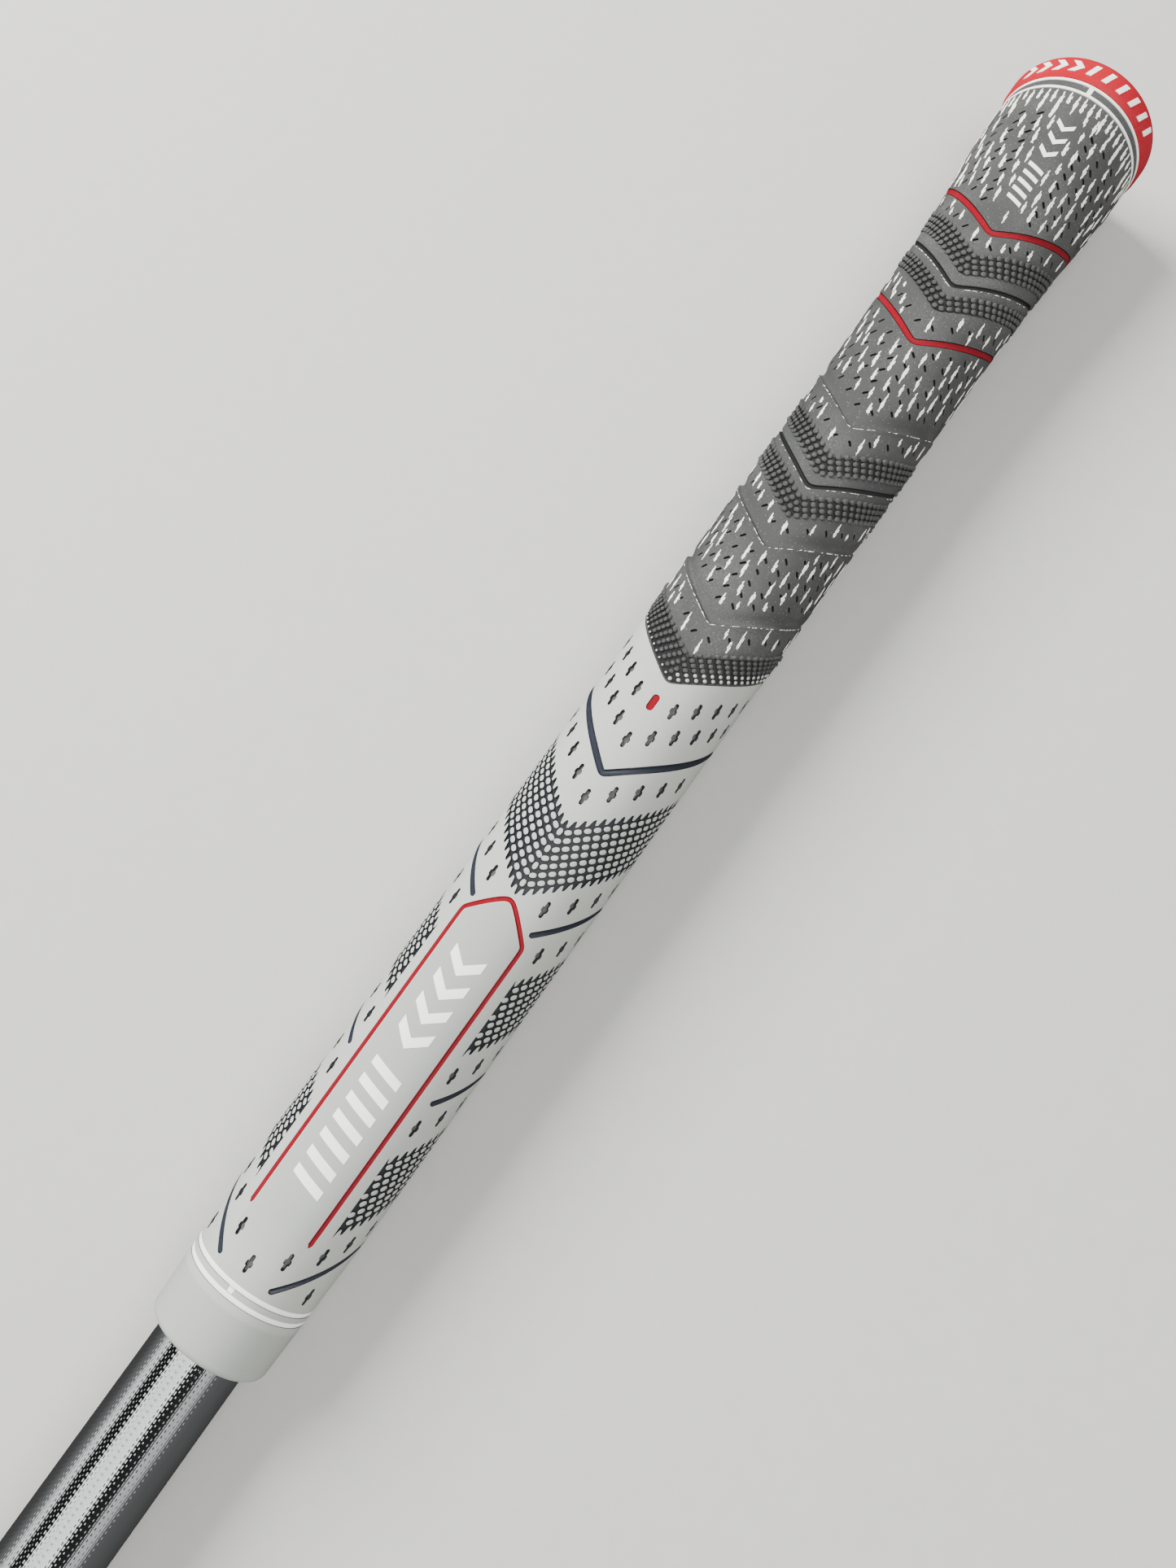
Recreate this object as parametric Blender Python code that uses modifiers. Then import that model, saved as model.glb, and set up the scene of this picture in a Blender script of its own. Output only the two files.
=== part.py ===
"""Golf grip fitted on the butt end of a steel shaft, as separate solids.

The grip lies along +X from the butt cap to the mouth, and the guide side faces +Z.
The origin is the middle of the butt cap's flat end face. Every round piece shares one
set of facets, so pieces that touch keep an even gap.
"""
import math

import bmesh
import bpy

MM = 0.001

# Overall sizes, in millimetres.
GRIP_LENGTH = 266.7          # 10.5 in from the cap's end face to the mouth
SHAFT_OD = 15.75             # 0.620 in steel butt
SHAFT_WALL = 0.55
SHAFT_STUB = 60.0            # how far the shaft runs on past the mouth
TAPE_THICKNESS = 0.25
TAPE_SETBACK = 4.0           # from the mouth to the tape's end

# How thick the grip is over the shaft: (share of the grip's length, thickness).
BUILD_UP = [
    (0.022, 6.42), (0.047, 6.37), (0.070, 6.14), (0.095, 5.54), (0.120, 4.94),
    (0.150, 4.52), (0.182, 4.30), (0.290, 4.00), (0.414, 3.92), (0.540, 3.87),
    (0.664, 3.78), (0.790, 3.66), (0.896, 3.50), (0.950, 3.10), (1.000, 2.67),
]
MOUTH_ROUNDING = 1.0

# Butt cap.
CAP_OVERHANG = 0.45          # how far the cap stands out past the sleeve's end
CAP_CORNER = 2.4
CAP_SHELL_LENGTH = 5.8
CAP_SHELL_THICKNESS = 2.3
CAP_FACE_LIP = 5.4           # how far the shell wraps onto the end face from the outside
CAP_FACE_THICKNESS = 2.5
VENT_HOLE = 1.8
SPIGOT_LENGTH = 4.0
SPIGOT_WALL = 2.8
SHAFT_SEAT = 6.5             # from the end face to the shaft's butt

# Trim rings: two rings joined by one tick on the guide line.
TRIM_RING = 0.75
CAP_TRIM_SPAN = 2.6
MOUTH_TRIM_SPAN = 2.55
TRIM_DEPTH = 0.7
TICK_WIDTH = 1.0

# Places along the grip are shares of its length, and a V's place is its point's.
SLEEVE_JOINT = 0.523         # charcoal corded rubber meets grey rubber

# The V lines run back from their point to the side of the grip by this much.
UPPER_V_DROP = 12.3
LOWER_V_DROP = 15.8
V_FULL_AT = 24.0             # the upper sleeve's mesh lines are full Vs from here on
V_FADE = 30.0                # and straighten out over this length past the joint

# V lines on the upper sleeve.
RED_CHEVRONS = [0.1485, 0.2422]
RED_CHEVRON_WIDTH = 1.2
GROOVES = [0.1946, 0.3161, 0.3648, 0.4143, 0.4762]
GROOVE_WIDTH = 0.8
GROOVE_DEPTH = 0.45

# Inlays on the lower sleeve.
SLATE_CHEVRON = 0.5921
SLATE_WIDTH = 1.5
HEX_BAND = (0.6303, 0.6813)
SLATE_LINES = [(0.6978, 28.5), (0.8110, 44.5), (0.9460, 25.5)]      # (front end, its angle)
HEX_PATCHES = {"a": (0.7525, 0.8031), "b": (0.8740, 0.9280)}
HEX_PATCH_ANGLE = 42.5
GUIDE_MARK = 0.5384
MARK_LENGTH = 3.1
MARK_WIDTH = 1.2
PANEL_NOSE = 0.6869
PANEL_SHOULDER = 0.7064
PANEL_END = 0.9141
MOUTH_TRIM = 0.9513
PANEL_HALF_ANGLE = 30.75
PANEL_LINE_WIDTH = 0.9

INLAY_DEPTH = 0.8            # pocket depth under the skin
INLAY_SINK = 0.05            # the inlay's face lies this far under the skin
GAP = 0.1                    # between pieces that touch
ABOVE = 0.3                  # how far a pocket's cutter stands out of the skin

SHARP_EDGE = 25              # degrees between faces that show as an edge
SIDES = 36
STEP = 360 / SIDES
HALF = STEP / 2

SHAFT_R = SHAFT_OD / 2
TAPE_IN = SHAFT_R + GAP
TAPE_OUT = TAPE_IN + TAPE_THICKNESS
SLEEVE_BORE = TAPE_OUT + GAP
SEAT_R = SHAFT_R + BUILD_UP[0][1]
CAP_R = SEAT_R + CAP_OVERHANG
SPIGOT_R = SHAFT_R + GAP + SPIGOT_WALL
SLEEVE_START = CAP_SHELL_LENGTH + CAP_TRIM_SPAN + 2 * GAP

COLOURS = {
    "red": ((0.68, 0.06, 0.07), 0.55, 0.0),
    "white": ((0.86, 0.85, 0.80), 0.50, 0.0),
    "charcoal": ((0.075, 0.08, 0.085), 0.75, 0.0),
    "grey": ((0.58, 0.60, 0.58), 0.60, 0.0),
    "slate": ((0.055, 0.06, 0.08), 0.60, 0.0),
    "tape": ((0.62, 0.55, 0.40), 0.80, 0.0),
    "chrome": ((0.78, 0.79, 0.80), 0.12, 1.0),
}


def clear_scene():
    for item in list(bpy.data.objects):
        bpy.data.objects.remove(item, do_unlink=True)


def new_collection(name):
    group = bpy.data.collections.new(name)
    bpy.context.scene.collection.children.link(group)
    return group


def material(colour):
    name = "grip_" + colour
    if name in bpy.data.materials:
        return bpy.data.materials[name]
    base, roughness, metallic = COLOURS[colour]
    made = bpy.data.materials.new(name)
    made.use_nodes = True
    shader = made.node_tree.nodes["Principled BSDF"]
    shader.inputs["Base Color"].default_value = (*base, 1.0)
    shader.inputs["Roughness"].default_value = roughness
    shader.inputs["Metallic"].default_value = metallic
    return made


def along(share):
    return share * GRIP_LENGTH


def skin_radius(x):
    """Outer radius of the grip at x, on a smooth curve through BUILD_UP."""
    points = [(along(share), SHAFT_R + thickness) for share, thickness in BUILD_UP]
    if x <= points[0][0]:
        return points[0][1]
    if x >= points[-1][0]:
        return points[-1][1]
    place = max(i for i, point in enumerate(points[:-1]) if point[0] <= x)
    (x0, r0), (x1, r1) = points[place], points[place + 1]
    before = points[max(place - 1, 0)]
    after = points[min(place + 2, len(points) - 1)]
    slope0 = (r1 - before[1]) / (x1 - before[0])
    slope1 = (after[1] - r0) / (after[0] - x0)
    span = x1 - x0
    t = (x - x0) / span
    return ((2 * t**3 - 3 * t**2 + 1) * r0 + (t**3 - 2 * t**2 + t) * span * slope0
            + (3 * t**2 - 2 * t**3) * r1 + (t**3 - t**2) * span * slope1)


def facet_scale(angle):
    """How much nearer the axis a flat facet is at this angle than at its edges."""
    across = (angle + HALF) % STEP - HALF
    return math.cos(math.radians(HALF)) / math.cos(math.radians(across))


def around(x, radius, angle):
    """A point on the shared facets; the angle is measured from +Z towards +Y."""
    turn = math.radians(angle)
    reach = radius * facet_scale(angle) * MM
    return (x * MM, reach * math.sin(turn), reach * math.cos(turn))


def v_place(angle):
    """0 at the V's blunt point on top or underneath, 1 at either side."""
    from_top = abs((angle + 180) % 360 - 180)
    from_ridge = min(from_top, 180 - from_top)
    return max(from_ridge - HALF, 0) / (90 - HALF)


def edge_angles(first, last):
    """The two angles and every facet edge between them."""
    inner = [HALF + STEP * i for i in range(-SIDES, SIDES)]
    return [first] + [a for a in inner if first + 0.01 < a < last - 0.01] + [last]


def full_turn():
    return [HALF + STEP * i for i in range(SIDES)]


def add_object(name, mesh, colour, group):
    made = bpy.data.objects.new(name, mesh)
    group.objects.link(made)
    if colour:
        mesh.materials.append(material(colour))
        for face in mesh.polygons:
            face.use_smooth = True
        mesh.set_sharp_from_angle(angle=math.radians(SHARP_EDGE))
    else:
        made.hide_render = True
        made.display_type = "WIRE"
    return made


def loft(name, section, angles, closed, colour, group):
    """Sweep a section round the axis. section(angle) gives its (x, radius) corners."""
    bm = bmesh.new()
    rings = []
    for angle in angles:
        rings.append([bm.verts.new(around(x, radius, angle)) for x, radius in section(angle)])
    first = section(angles[0])
    pairs = list(zip(rings, rings[1:]))
    if closed:
        pairs.append((rings[-1], rings[0]))
    for ring, following in pairs:
        for i, corner in enumerate(ring):
            j = (i + 1) % len(ring)
            if first[i][1] >= first[j][1]:
                bm.faces.new((corner, ring[j], following[j]))
                bm.faces.new((corner, following[j], following[i]))
            else:
                bm.faces.new((corner, ring[j], following[i]))
                bm.faces.new((ring[j], following[j], following[i]))
    if not closed:
        bm.faces.new(rings[0])
        bm.faces.new(rings[-1])
    bmesh.ops.recalc_face_normals(bm, faces=bm.faces)
    mesh = bpy.data.meshes.new(name)
    bm.to_mesh(mesh)
    bm.free()
    return add_object(name, mesh, colour, group)


def turned(name, profile, colour, group):
    """A closed (x, radius) profile, turned about the X axis by a Screw modifier."""
    bm = bmesh.new()
    corners = [bm.verts.new(around(x, radius, HALF)) for x, radius in profile]
    for i, corner in enumerate(corners):
        bm.edges.new((corner, corners[(i + 1) % len(corners)]))
    mesh = bpy.data.meshes.new(name)
    bm.to_mesh(mesh)
    bm.free()
    made = add_object(name, mesh, colour, group)
    screw = made.modifiers.new("turn", "SCREW")
    screw.axis = "X"
    screw.angle = math.tau
    screw.steps = SIDES
    screw.render_steps = SIDES
    screw.use_merge_vertices = True
    screw.merge_threshold = 0.00001
    screw.use_smooth_shade = True
    screw.use_normal_flip = True
    return made


def band_section(start, end, drop, top, bottom):
    """A bar under or over the skin whose ends follow a V of this drop."""
    def section(angle):
        shift = drop * v_place(angle)
        x0, x1 = start - shift, end - shift
        return [(x0, skin_radius(x0) - bottom), (x1, skin_radius(x1) - bottom),
                (x1, skin_radius(x1) - top), (x0, skin_radius(x0) - top)]
    return section


def cut(target, cutter):
    """Put a cutter in the target's own set, which one Boolean takes away at once."""
    name = "cut_from_" + target.name
    if name not in bpy.data.collections:
        group = bpy.data.collections.new(name)
        bpy.data.collections["cutters"].children.link(group)
        boolean = target.modifiers.new("cuts", "BOOLEAN")
        boolean.operation = "DIFFERENCE"
        boolean.solver = "EXACT"
        boolean.operand_type = "COLLECTION"
        boolean.collection = group
    bpy.data.collections["cutters"].objects.unlink(cutter)
    bpy.data.collections[name].objects.link(cutter)


def join(target, arm, parts, cutters):
    """Unite a piece's arm with its body."""
    parts.objects.unlink(arm)
    cutters.objects.link(arm)
    arm.hide_render = True
    arm.display_type = "WIRE"
    boolean = target.modifiers.new(arm.name, "BOOLEAN")
    boolean.operation = "UNION"
    boolean.solver = "EXACT"
    boolean.object = arm


def inlay(name, start, end, drop, first, last, colour, sleeve, parts, cutters):
    """A band let into a sleeve, with its pocket. first None means all the way round."""
    closed = first is None
    angles = full_turn() if closed else edge_angles(first, last)
    solid = band_section(start, end, drop, INLAY_SINK, INLAY_DEPTH - GAP)
    made = loft(name, solid, angles, closed, colour, parts)
    pocket = band_section(start - GAP, end + GAP, drop, -ABOVE, INLAY_DEPTH)
    if not closed:
        extra = math.degrees(GAP / skin_radius(start))
        angles = edge_angles(first - extra, last + extra)
    cut(sleeve, loft("cut_" + name, pocket, angles, closed, None, cutters))
    return made


def sleeve_stations(start, end, count):
    return [start + (end - start) * i / count for i in range(count + 1)]


def upper_sleeve(parts):
    """Charcoal corded rubber from the cap to the V joint."""
    def shift(x, angle):
        share = min(max((x - SLEEVE_START) / (V_FULL_AT - SLEEVE_START), 0), 1)
        return share * UPPER_V_DROP * v_place(angle)

    counterbore = SPIGOT_R + GAP
    stations = sleeve_stations(SLEEVE_START, V_FULL_AT, 3)
    stations += sleeve_stations(V_FULL_AT, along(SLEEVE_JOINT) - GAP, 10)[1:]

    def section(angle):
        outer = []
        for x in stations:
            place = x - shift(x, angle)
            outer.append((place, skin_radius(place)))
        end = stations[-1] - shift(stations[-1], angle)
        step_x = SLEEVE_START + SPIGOT_LENGTH + GAP
        inner = [(end, SLEEVE_BORE), (step_x, SLEEVE_BORE), (step_x, counterbore),
                 (SLEEVE_START, counterbore)]
        return outer + inner

    return loft("upper_sleeve", section, full_turn(), True, "charcoal", parts)


def lower_sleeve(parts):
    """Light grey rubber from the V joint to the rounded mouth."""
    straight = GRIP_LENGTH - MOUTH_ROUNDING
    joint = along(SLEEVE_JOINT)

    def shift(x, angle):
        share = min(max(1 - (x - joint) / V_FADE, 0), 1)
        return share * UPPER_V_DROP * v_place(angle)

    stations = sleeve_stations(joint, joint + V_FADE, 2)
    stations += sleeve_stations(joint + V_FADE, straight, 9)[1:]
    arc = [math.radians(a) for a in (30, 60, 90)]

    def section(angle):
        outer = []
        for x in stations:
            place = x - shift(x, angle)
            outer.append((place, skin_radius(place)))
        rim = skin_radius(straight) - MOUTH_ROUNDING
        for turn in arc:
            outer.append((straight + MOUTH_ROUNDING * math.sin(turn),
                          rim + MOUTH_ROUNDING * math.cos(turn)))
        start = stations[0] - shift(stations[0], angle)
        return outer + [(GRIP_LENGTH, SLEEVE_BORE), (start, SLEEVE_BORE)]

    return loft("lower_sleeve", section, full_turn(), True, "grey", parts)


def grooves(sleeve, cutters):
    for number, share in enumerate(GROOVES, 1):
        start = along(share) - GROOVE_WIDTH / 2
        end = start + GROOVE_WIDTH
        section = band_section(start, end, UPPER_V_DROP, -ABOVE, GROOVE_DEPTH)
        cut(sleeve, loft(f"cut_groove_{number}", section, full_turn(), True, None, cutters))


def trim(name, start, span, radius_at, sleeve, parts, cutters):
    """Two white rings and the tick that joins them, with their seat in the sleeve."""
    tick = math.degrees(TICK_WIDTH / 2 / radius_at(start))

    def box(x0, x1, top, bottom):
        return lambda angle: [(x0, radius_at(x0) - bottom), (x1, radius_at(x1) - bottom),
                              (x1, radius_at(x1) - top), (x0, radius_at(x0) - top)]

    made = loft(name, box(start, start + span, INLAY_SINK, TRIM_DEPTH - GAP),
                full_turn(), True, "white", parts)
    between = edge_angles(tick, 360 - tick)
    middle = box(start + TRIM_RING, start + span - TRIM_RING, -ABOVE, TRIM_DEPTH + ABOVE)
    cut(made, loft("cut_" + name + "_window", middle, between, False, None, cutters))
    if sleeve is None:
        return made
    ends = {"first": start, "second": start + span - TRIM_RING}
    for label, x in ends.items():
        seat = box(x - GAP, x + TRIM_RING + GAP, -ABOVE, TRIM_DEPTH)
        cut(sleeve, loft(f"cut_{name}_{label}", seat, full_turn(), True, None, cutters))
    wide = math.degrees((TICK_WIDTH / 2 + GAP) / radius_at(start))
    bridge = box(start + TRIM_RING / 2, start + span - TRIM_RING / 2, -ABOVE, TRIM_DEPTH)
    cut(sleeve, loft(f"cut_{name}_tick", bridge, edge_angles(-wide, wide), False, None, cutters))
    return made


def panel_outline(sleeve, parts, cutters):
    """The open red outline: a blunt nose and two straight lines towards the mouth."""
    nose_x, shoulder_x = along(PANEL_NOSE), along(PANEL_SHOULDER)
    reach = (shoulder_x - nose_x) / v_place(PANEL_HALF_ANGLE)
    radius = skin_radius(shoulder_x)

    def piece(prefix, grow, top, bottom, colour, group):
        half = PANEL_LINE_WIDTH / 2 + grow
        spread = math.degrees(half / radius)
        outer = PANEL_HALF_ANGLE + spread
        nose = band_section(nose_x - half, nose_x + half * 1.2, -reach, top, bottom)
        made = [loft(prefix + "nose", nose, edge_angles(-outer, outer), False, colour, group)]
        for side, sign in (("left", 1), ("right", -1)):
            bounds = sorted((sign * (PANEL_HALF_ANGLE - spread), sign * outer))
            line = band_section(shoulder_x, along(PANEL_END) + grow, 0, top, bottom)
            made.append(loft(prefix + side, line, edge_angles(*bounds), False, colour, group))
        return made

    body = piece("panel_outline_", 0, INLAY_SINK, INLAY_DEPTH - GAP, "red", parts)
    for arm in body[1:]:
        join(body[0], arm, parts, cutters)
    body[0].name = "panel_outline"
    for cutter in piece("cut_panel_", GAP, -ABOVE, INLAY_DEPTH, None, cutters):
        cut(sleeve, cutter)


def guide_mark(sleeve, parts, cutters):
    """The red capsule on the guide line, cut and filled from above."""
    middle = along(GUIDE_MARK)

    def capsule(name, grow, low, high, colour, group):
        bm = bmesh.new()
        half = MARK_WIDTH / 2 + grow
        straight = (MARK_LENGTH - MARK_WIDTH) / 2
        outline = []
        for end in (0, 180):
            for turn in range(-90, 91, 30):
                bend = math.radians(turn + end)
                centre = straight if end == 0 else -straight
                outline.append((middle + centre + half * math.cos(bend),
                                half * math.sin(bend)))
        base = [bm.verts.new((x * MM, y * MM, low * MM)) for x, y in outline]
        face = bm.faces.new(base)
        lifted = bmesh.ops.extrude_face_region(bm, geom=[face])["geom"]
        tops = [item for item in lifted if isinstance(item, bmesh.types.BMVert)]
        bmesh.ops.translate(bm, verts=tops, vec=(0, 0, (high - low) * MM))
        bmesh.ops.recalc_face_normals(bm, faces=bm.faces)
        mesh = bpy.data.meshes.new(name)
        bm.to_mesh(mesh)
        bm.free()
        return add_object(name, mesh, colour, group)

    flat = skin_radius(middle) * math.cos(math.radians(HALF))
    floor = flat - INLAY_DEPTH
    capsule("guide_mark", 0, floor + GAP, flat - INLAY_SINK, "red", parts)
    cut(sleeve, capsule("cut_guide_mark", GAP, floor, flat + 1, None, cutters))


def cap_shell(parts):
    """Red outer shell of the butt cap, with a rounded corner and a lip on the end face."""
    lip = CAP_R - CAP_FACE_LIP + GAP
    inner = CAP_R - CAP_SHELL_THICKNESS + GAP
    centre = CAP_R - CAP_CORNER
    profile = [(0, lip)]
    for turn in range(0, 91, 15):
        bend = math.radians(turn)
        profile.append((CAP_CORNER * (1 - math.cos(bend)), centre + CAP_CORNER * math.sin(bend)))
    profile.append((CAP_SHELL_LENGTH, SEAT_R + INLAY_SINK))
    profile.append((CAP_SHELL_LENGTH, inner))
    profile.append((CAP_FACE_THICKNESS - GAP, inner))
    profile.append((CAP_FACE_THICKNESS - GAP, lip))
    return turned("cap_shell", profile, "red", parts)


def cap_core(parts, cutters):
    """Charcoal cap body: vented end disc, flange between the rings, spigot in the sleeve."""
    face = CAP_R - CAP_FACE_LIP
    waist = CAP_R - CAP_SHELL_THICKNESS
    seat = SEAT_R - TRIM_DEPTH
    ring1 = CAP_SHELL_LENGTH + GAP
    ring2 = ring1 + CAP_TRIM_SPAN
    flange0 = ring1 + TRIM_RING + GAP
    flange1 = ring2 - TRIM_RING - GAP
    flange = SEAT_R - 2 * INLAY_SINK
    spigot_end = SLEEVE_START + SPIGOT_LENGTH
    profile = [
        (0, VENT_HOLE / 2), (0, face), (CAP_FACE_THICKNESS, face),
        (CAP_FACE_THICKNESS, waist), (ring1, waist), (ring1, seat), (flange0, seat),
        (flange0, flange), (flange1, flange), (flange1, seat), (ring2, seat),
        (ring2, SPIGOT_R), (spigot_end, SPIGOT_R), (spigot_end, SHAFT_R + GAP),
        (SHAFT_SEAT, SHAFT_R + GAP), (SHAFT_SEAT, VENT_HOLE / 2),
    ]
    core = turned("cap_core", profile, "charcoal", parts)
    wide = math.degrees((TICK_WIDTH / 2 + GAP) / flange)
    near, far = flange0 - 2 * GAP, flange1 + 2 * GAP
    corners = [(near, seat), (far, seat), (far, flange + ABOVE), (near, flange + ABOVE)]
    notch = loft("cut_cap_tick", lambda angle: corners, edge_angles(-wide, wide), False,
                 None, cutters)
    cut(core, notch)
    return core


def tube(name, start, end, inner, outer, colour, parts):
    profile = [(start, inner), (start, outer), (end, outer), (end, inner)]
    return turned(name, profile, colour, parts)


def build():
    clear_scene()
    parts = new_collection("golf_grip")
    cutters = new_collection("cutters")

    cap_shell(parts)
    cap_core(parts, cutters)
    trim("cap_trim", CAP_SHELL_LENGTH + GAP, CAP_TRIM_SPAN - GAP, lambda x: SEAT_R,
         None, parts, cutters)

    upper = upper_sleeve(parts)
    for number, share in enumerate(RED_CHEVRONS, 1):
        start = along(share) - RED_CHEVRON_WIDTH / 2
        inlay(f"red_chevron_{number}", start, start + RED_CHEVRON_WIDTH, UPPER_V_DROP,
              None, None, "red", upper, parts, cutters)
    grooves(upper, cutters)

    lower = lower_sleeve(parts)
    start = along(SLATE_CHEVRON) - SLATE_WIDTH / 2
    inlay("slate_chevron", start, start + SLATE_WIDTH, LOWER_V_DROP, None, None, "slate",
          lower, parts, cutters)
    inlay("hex_band", along(HEX_BAND[0]), along(HEX_BAND[1]), LOWER_V_DROP, None, None,
          "slate", lower, parts, cutters)
    for side, turn in (("left", 0), ("right", 180)):
        for number, (share, first) in enumerate(SLATE_LINES, 1):
            start = along(share) + LOWER_V_DROP * v_place(first) - SLATE_WIDTH / 2
            inlay(f"slate_line_{number}_{side}", start, start + SLATE_WIDTH, LOWER_V_DROP,
                  first - turn, 180 - first - turn, "slate", lower, parts, cutters)
        for label, (first_share, last_share) in HEX_PATCHES.items():
            inlay(f"hex_patch_{label}_{side}", along(first_share), along(last_share),
                  LOWER_V_DROP, HEX_PATCH_ANGLE - turn, 180 - HEX_PATCH_ANGLE - turn,
                  "slate", lower, parts, cutters)
    guide_mark(lower, parts, cutters)
    panel_outline(lower, parts, cutters)
    trim("mouth_trim", along(MOUTH_TRIM), MOUTH_TRIM_SPAN, skin_radius, lower, parts, cutters)

    tape_start = SLEEVE_START + SPIGOT_LENGTH + 2 * GAP
    tube("grip_tape", tape_start, GRIP_LENGTH - TAPE_SETBACK, TAPE_IN, TAPE_OUT, "tape", parts)
    tube("shaft_tube", SHAFT_SEAT + GAP, GRIP_LENGTH + SHAFT_STUB, SHAFT_R - SHAFT_WALL,
         SHAFT_R, "chrome", parts)


build()
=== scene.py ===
import math
import random

import bmesh
import bpy
import numpy as np
from mathutils import Matrix, Vector


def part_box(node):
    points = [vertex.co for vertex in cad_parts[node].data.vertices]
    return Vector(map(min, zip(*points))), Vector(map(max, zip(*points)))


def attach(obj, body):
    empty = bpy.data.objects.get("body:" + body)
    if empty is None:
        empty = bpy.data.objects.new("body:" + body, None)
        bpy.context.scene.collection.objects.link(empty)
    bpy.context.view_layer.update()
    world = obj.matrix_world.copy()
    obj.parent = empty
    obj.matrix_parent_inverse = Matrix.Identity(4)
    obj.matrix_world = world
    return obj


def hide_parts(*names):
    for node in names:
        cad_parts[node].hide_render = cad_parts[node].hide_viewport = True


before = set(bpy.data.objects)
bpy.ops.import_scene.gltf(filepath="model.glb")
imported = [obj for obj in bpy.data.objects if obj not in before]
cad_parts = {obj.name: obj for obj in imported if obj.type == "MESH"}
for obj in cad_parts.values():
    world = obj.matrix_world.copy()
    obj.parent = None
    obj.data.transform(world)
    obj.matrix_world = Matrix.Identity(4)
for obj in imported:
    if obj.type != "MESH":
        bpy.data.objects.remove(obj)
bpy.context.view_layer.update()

mm = 0.001
print("grip scene: frame loaded")


def startOf(node):
    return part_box(node)[0].x / mm


def endOf(node):
    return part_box(node)[1].x / mm


grip = {
    "mouth": endOf("lower_sleeve"),
    "joint": endOf("upper_sleeve"),
    "sleeve start": startOf("upper_sleeve"),
    "bore": 8.33,
    "sides": 216,
    "skin": [(5.87, 14.295), (12.53, 14.245), (18.67, 14.015), (25.34, 13.415), (32.0, 12.815),
             (40.0, 12.395), (48.54, 12.175), (77.34, 11.875), (110.41, 11.795),
             (144.02, 11.745), (177.09, 11.655), (210.69, 11.535), (238.96, 11.375),
             (253.37, 10.975), (266.7, 10.545)],
    "upper drop": 12.1,      # how far a V falls back from its point to the side
    "lower drop": 15.2,
    "point": 0.99,           # nearer 1 makes a sharper V point
    "row radius": 11.8,      # the rows of pips and scales turn with the V legs at this radius
}


def skinTable():
    x, r = np.array(grip["skin"]).T
    slope = np.empty_like(r)
    slope[1:-1] = (r[2:] - r[:-2]) / (x[2:] - x[:-2])
    slope[0] = (r[1] - r[0]) / (x[1] - x[0])
    slope[-1] = (r[-1] - r[-2]) / (x[-1] - x[-2])
    fine = np.arange(x[0], x[-1] + 0.1, 0.2)
    i = np.clip(np.searchsorted(x, fine, side="right") - 1, 0, len(x) - 2)
    span = x[i + 1] - x[i]
    t = np.clip((fine - x[i]) / span, 0, 1)
    radius = ((2 * t**3 - 3 * t**2 + 1) * r[i] + (t**3 - 2 * t**2 + t) * span * slope[i]
              + (3 * t**2 - 2 * t**3) * r[i + 1] + (t**3 - t**2) * span * slope[i + 1])
    return fine, radius


skinX, skinR = skinTable()


def skinRadius(x):
    return np.interp(x, skinX, skinR)


def vLead(angle, drop, soft=grip["point"]):
    return drop * (0.5 - np.arcsin(soft * np.cos(2 * angle)) / (2 * math.asin(soft)))


def onGrip(x, angle, radius):
    return np.stack([x, radius * np.sin(angle), radius * np.cos(angle)], -1) * mm


def addObject(name, data):
    made = bpy.data.objects.new(name, data)
    bpy.context.scene.collection.objects.link(made)
    return made


def newObject(name, verts, faces, finish=None):
    mesh = bpy.data.meshes.new(name)
    mesh.from_pydata([tuple(v) for v in verts], [], [tuple(f) for f in faces])
    made = addObject(name, mesh)
    if finish:
        mesh.materials.append(finish)
    return made


def smoothUp(piece, sharp=35):
    mesh = piece.data
    mesh.polygons.foreach_set("use_smooth", np.ones(len(mesh.polygons), bool))
    mesh.set_sharp_from_angle(angle=math.radians(sharp))


def gridFaces(rows, cols, wrapRows=True, wrapCols=True):
    i = np.arange(rows if wrapRows else rows - 1)[:, None]
    j = np.arange(cols if wrapCols else cols - 1)[None, :]
    i2, j2 = (i + 1) % rows, (j + 1) % cols
    return np.stack([i * cols + j, i * cols + j2, i2 * cols + j2, i2 * cols + j], -1).reshape(-1, 4)


def circle(count=grip["sides"]):
    return np.linspace(0, math.tau, count, endpoint=False)


def loftRound(name, sectionX, sectionR, angles, finish):    # closed section swept all the way round
    sectionX = sectionX + 0 * angles[:, None]
    verts = onGrip(sectionX, angles[:, None] + 0 * sectionX, sectionR).reshape(-1, 3)
    return newObject(name, verts, gridFaces(*sectionX.shape), finish)


def turned(name, profile, finish):    # closed (x, radius) profile
    piece = loftRound(name, *np.array(profile, float).T, circle(), finish)
    smoothUp(piece)
    return piece


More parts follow.
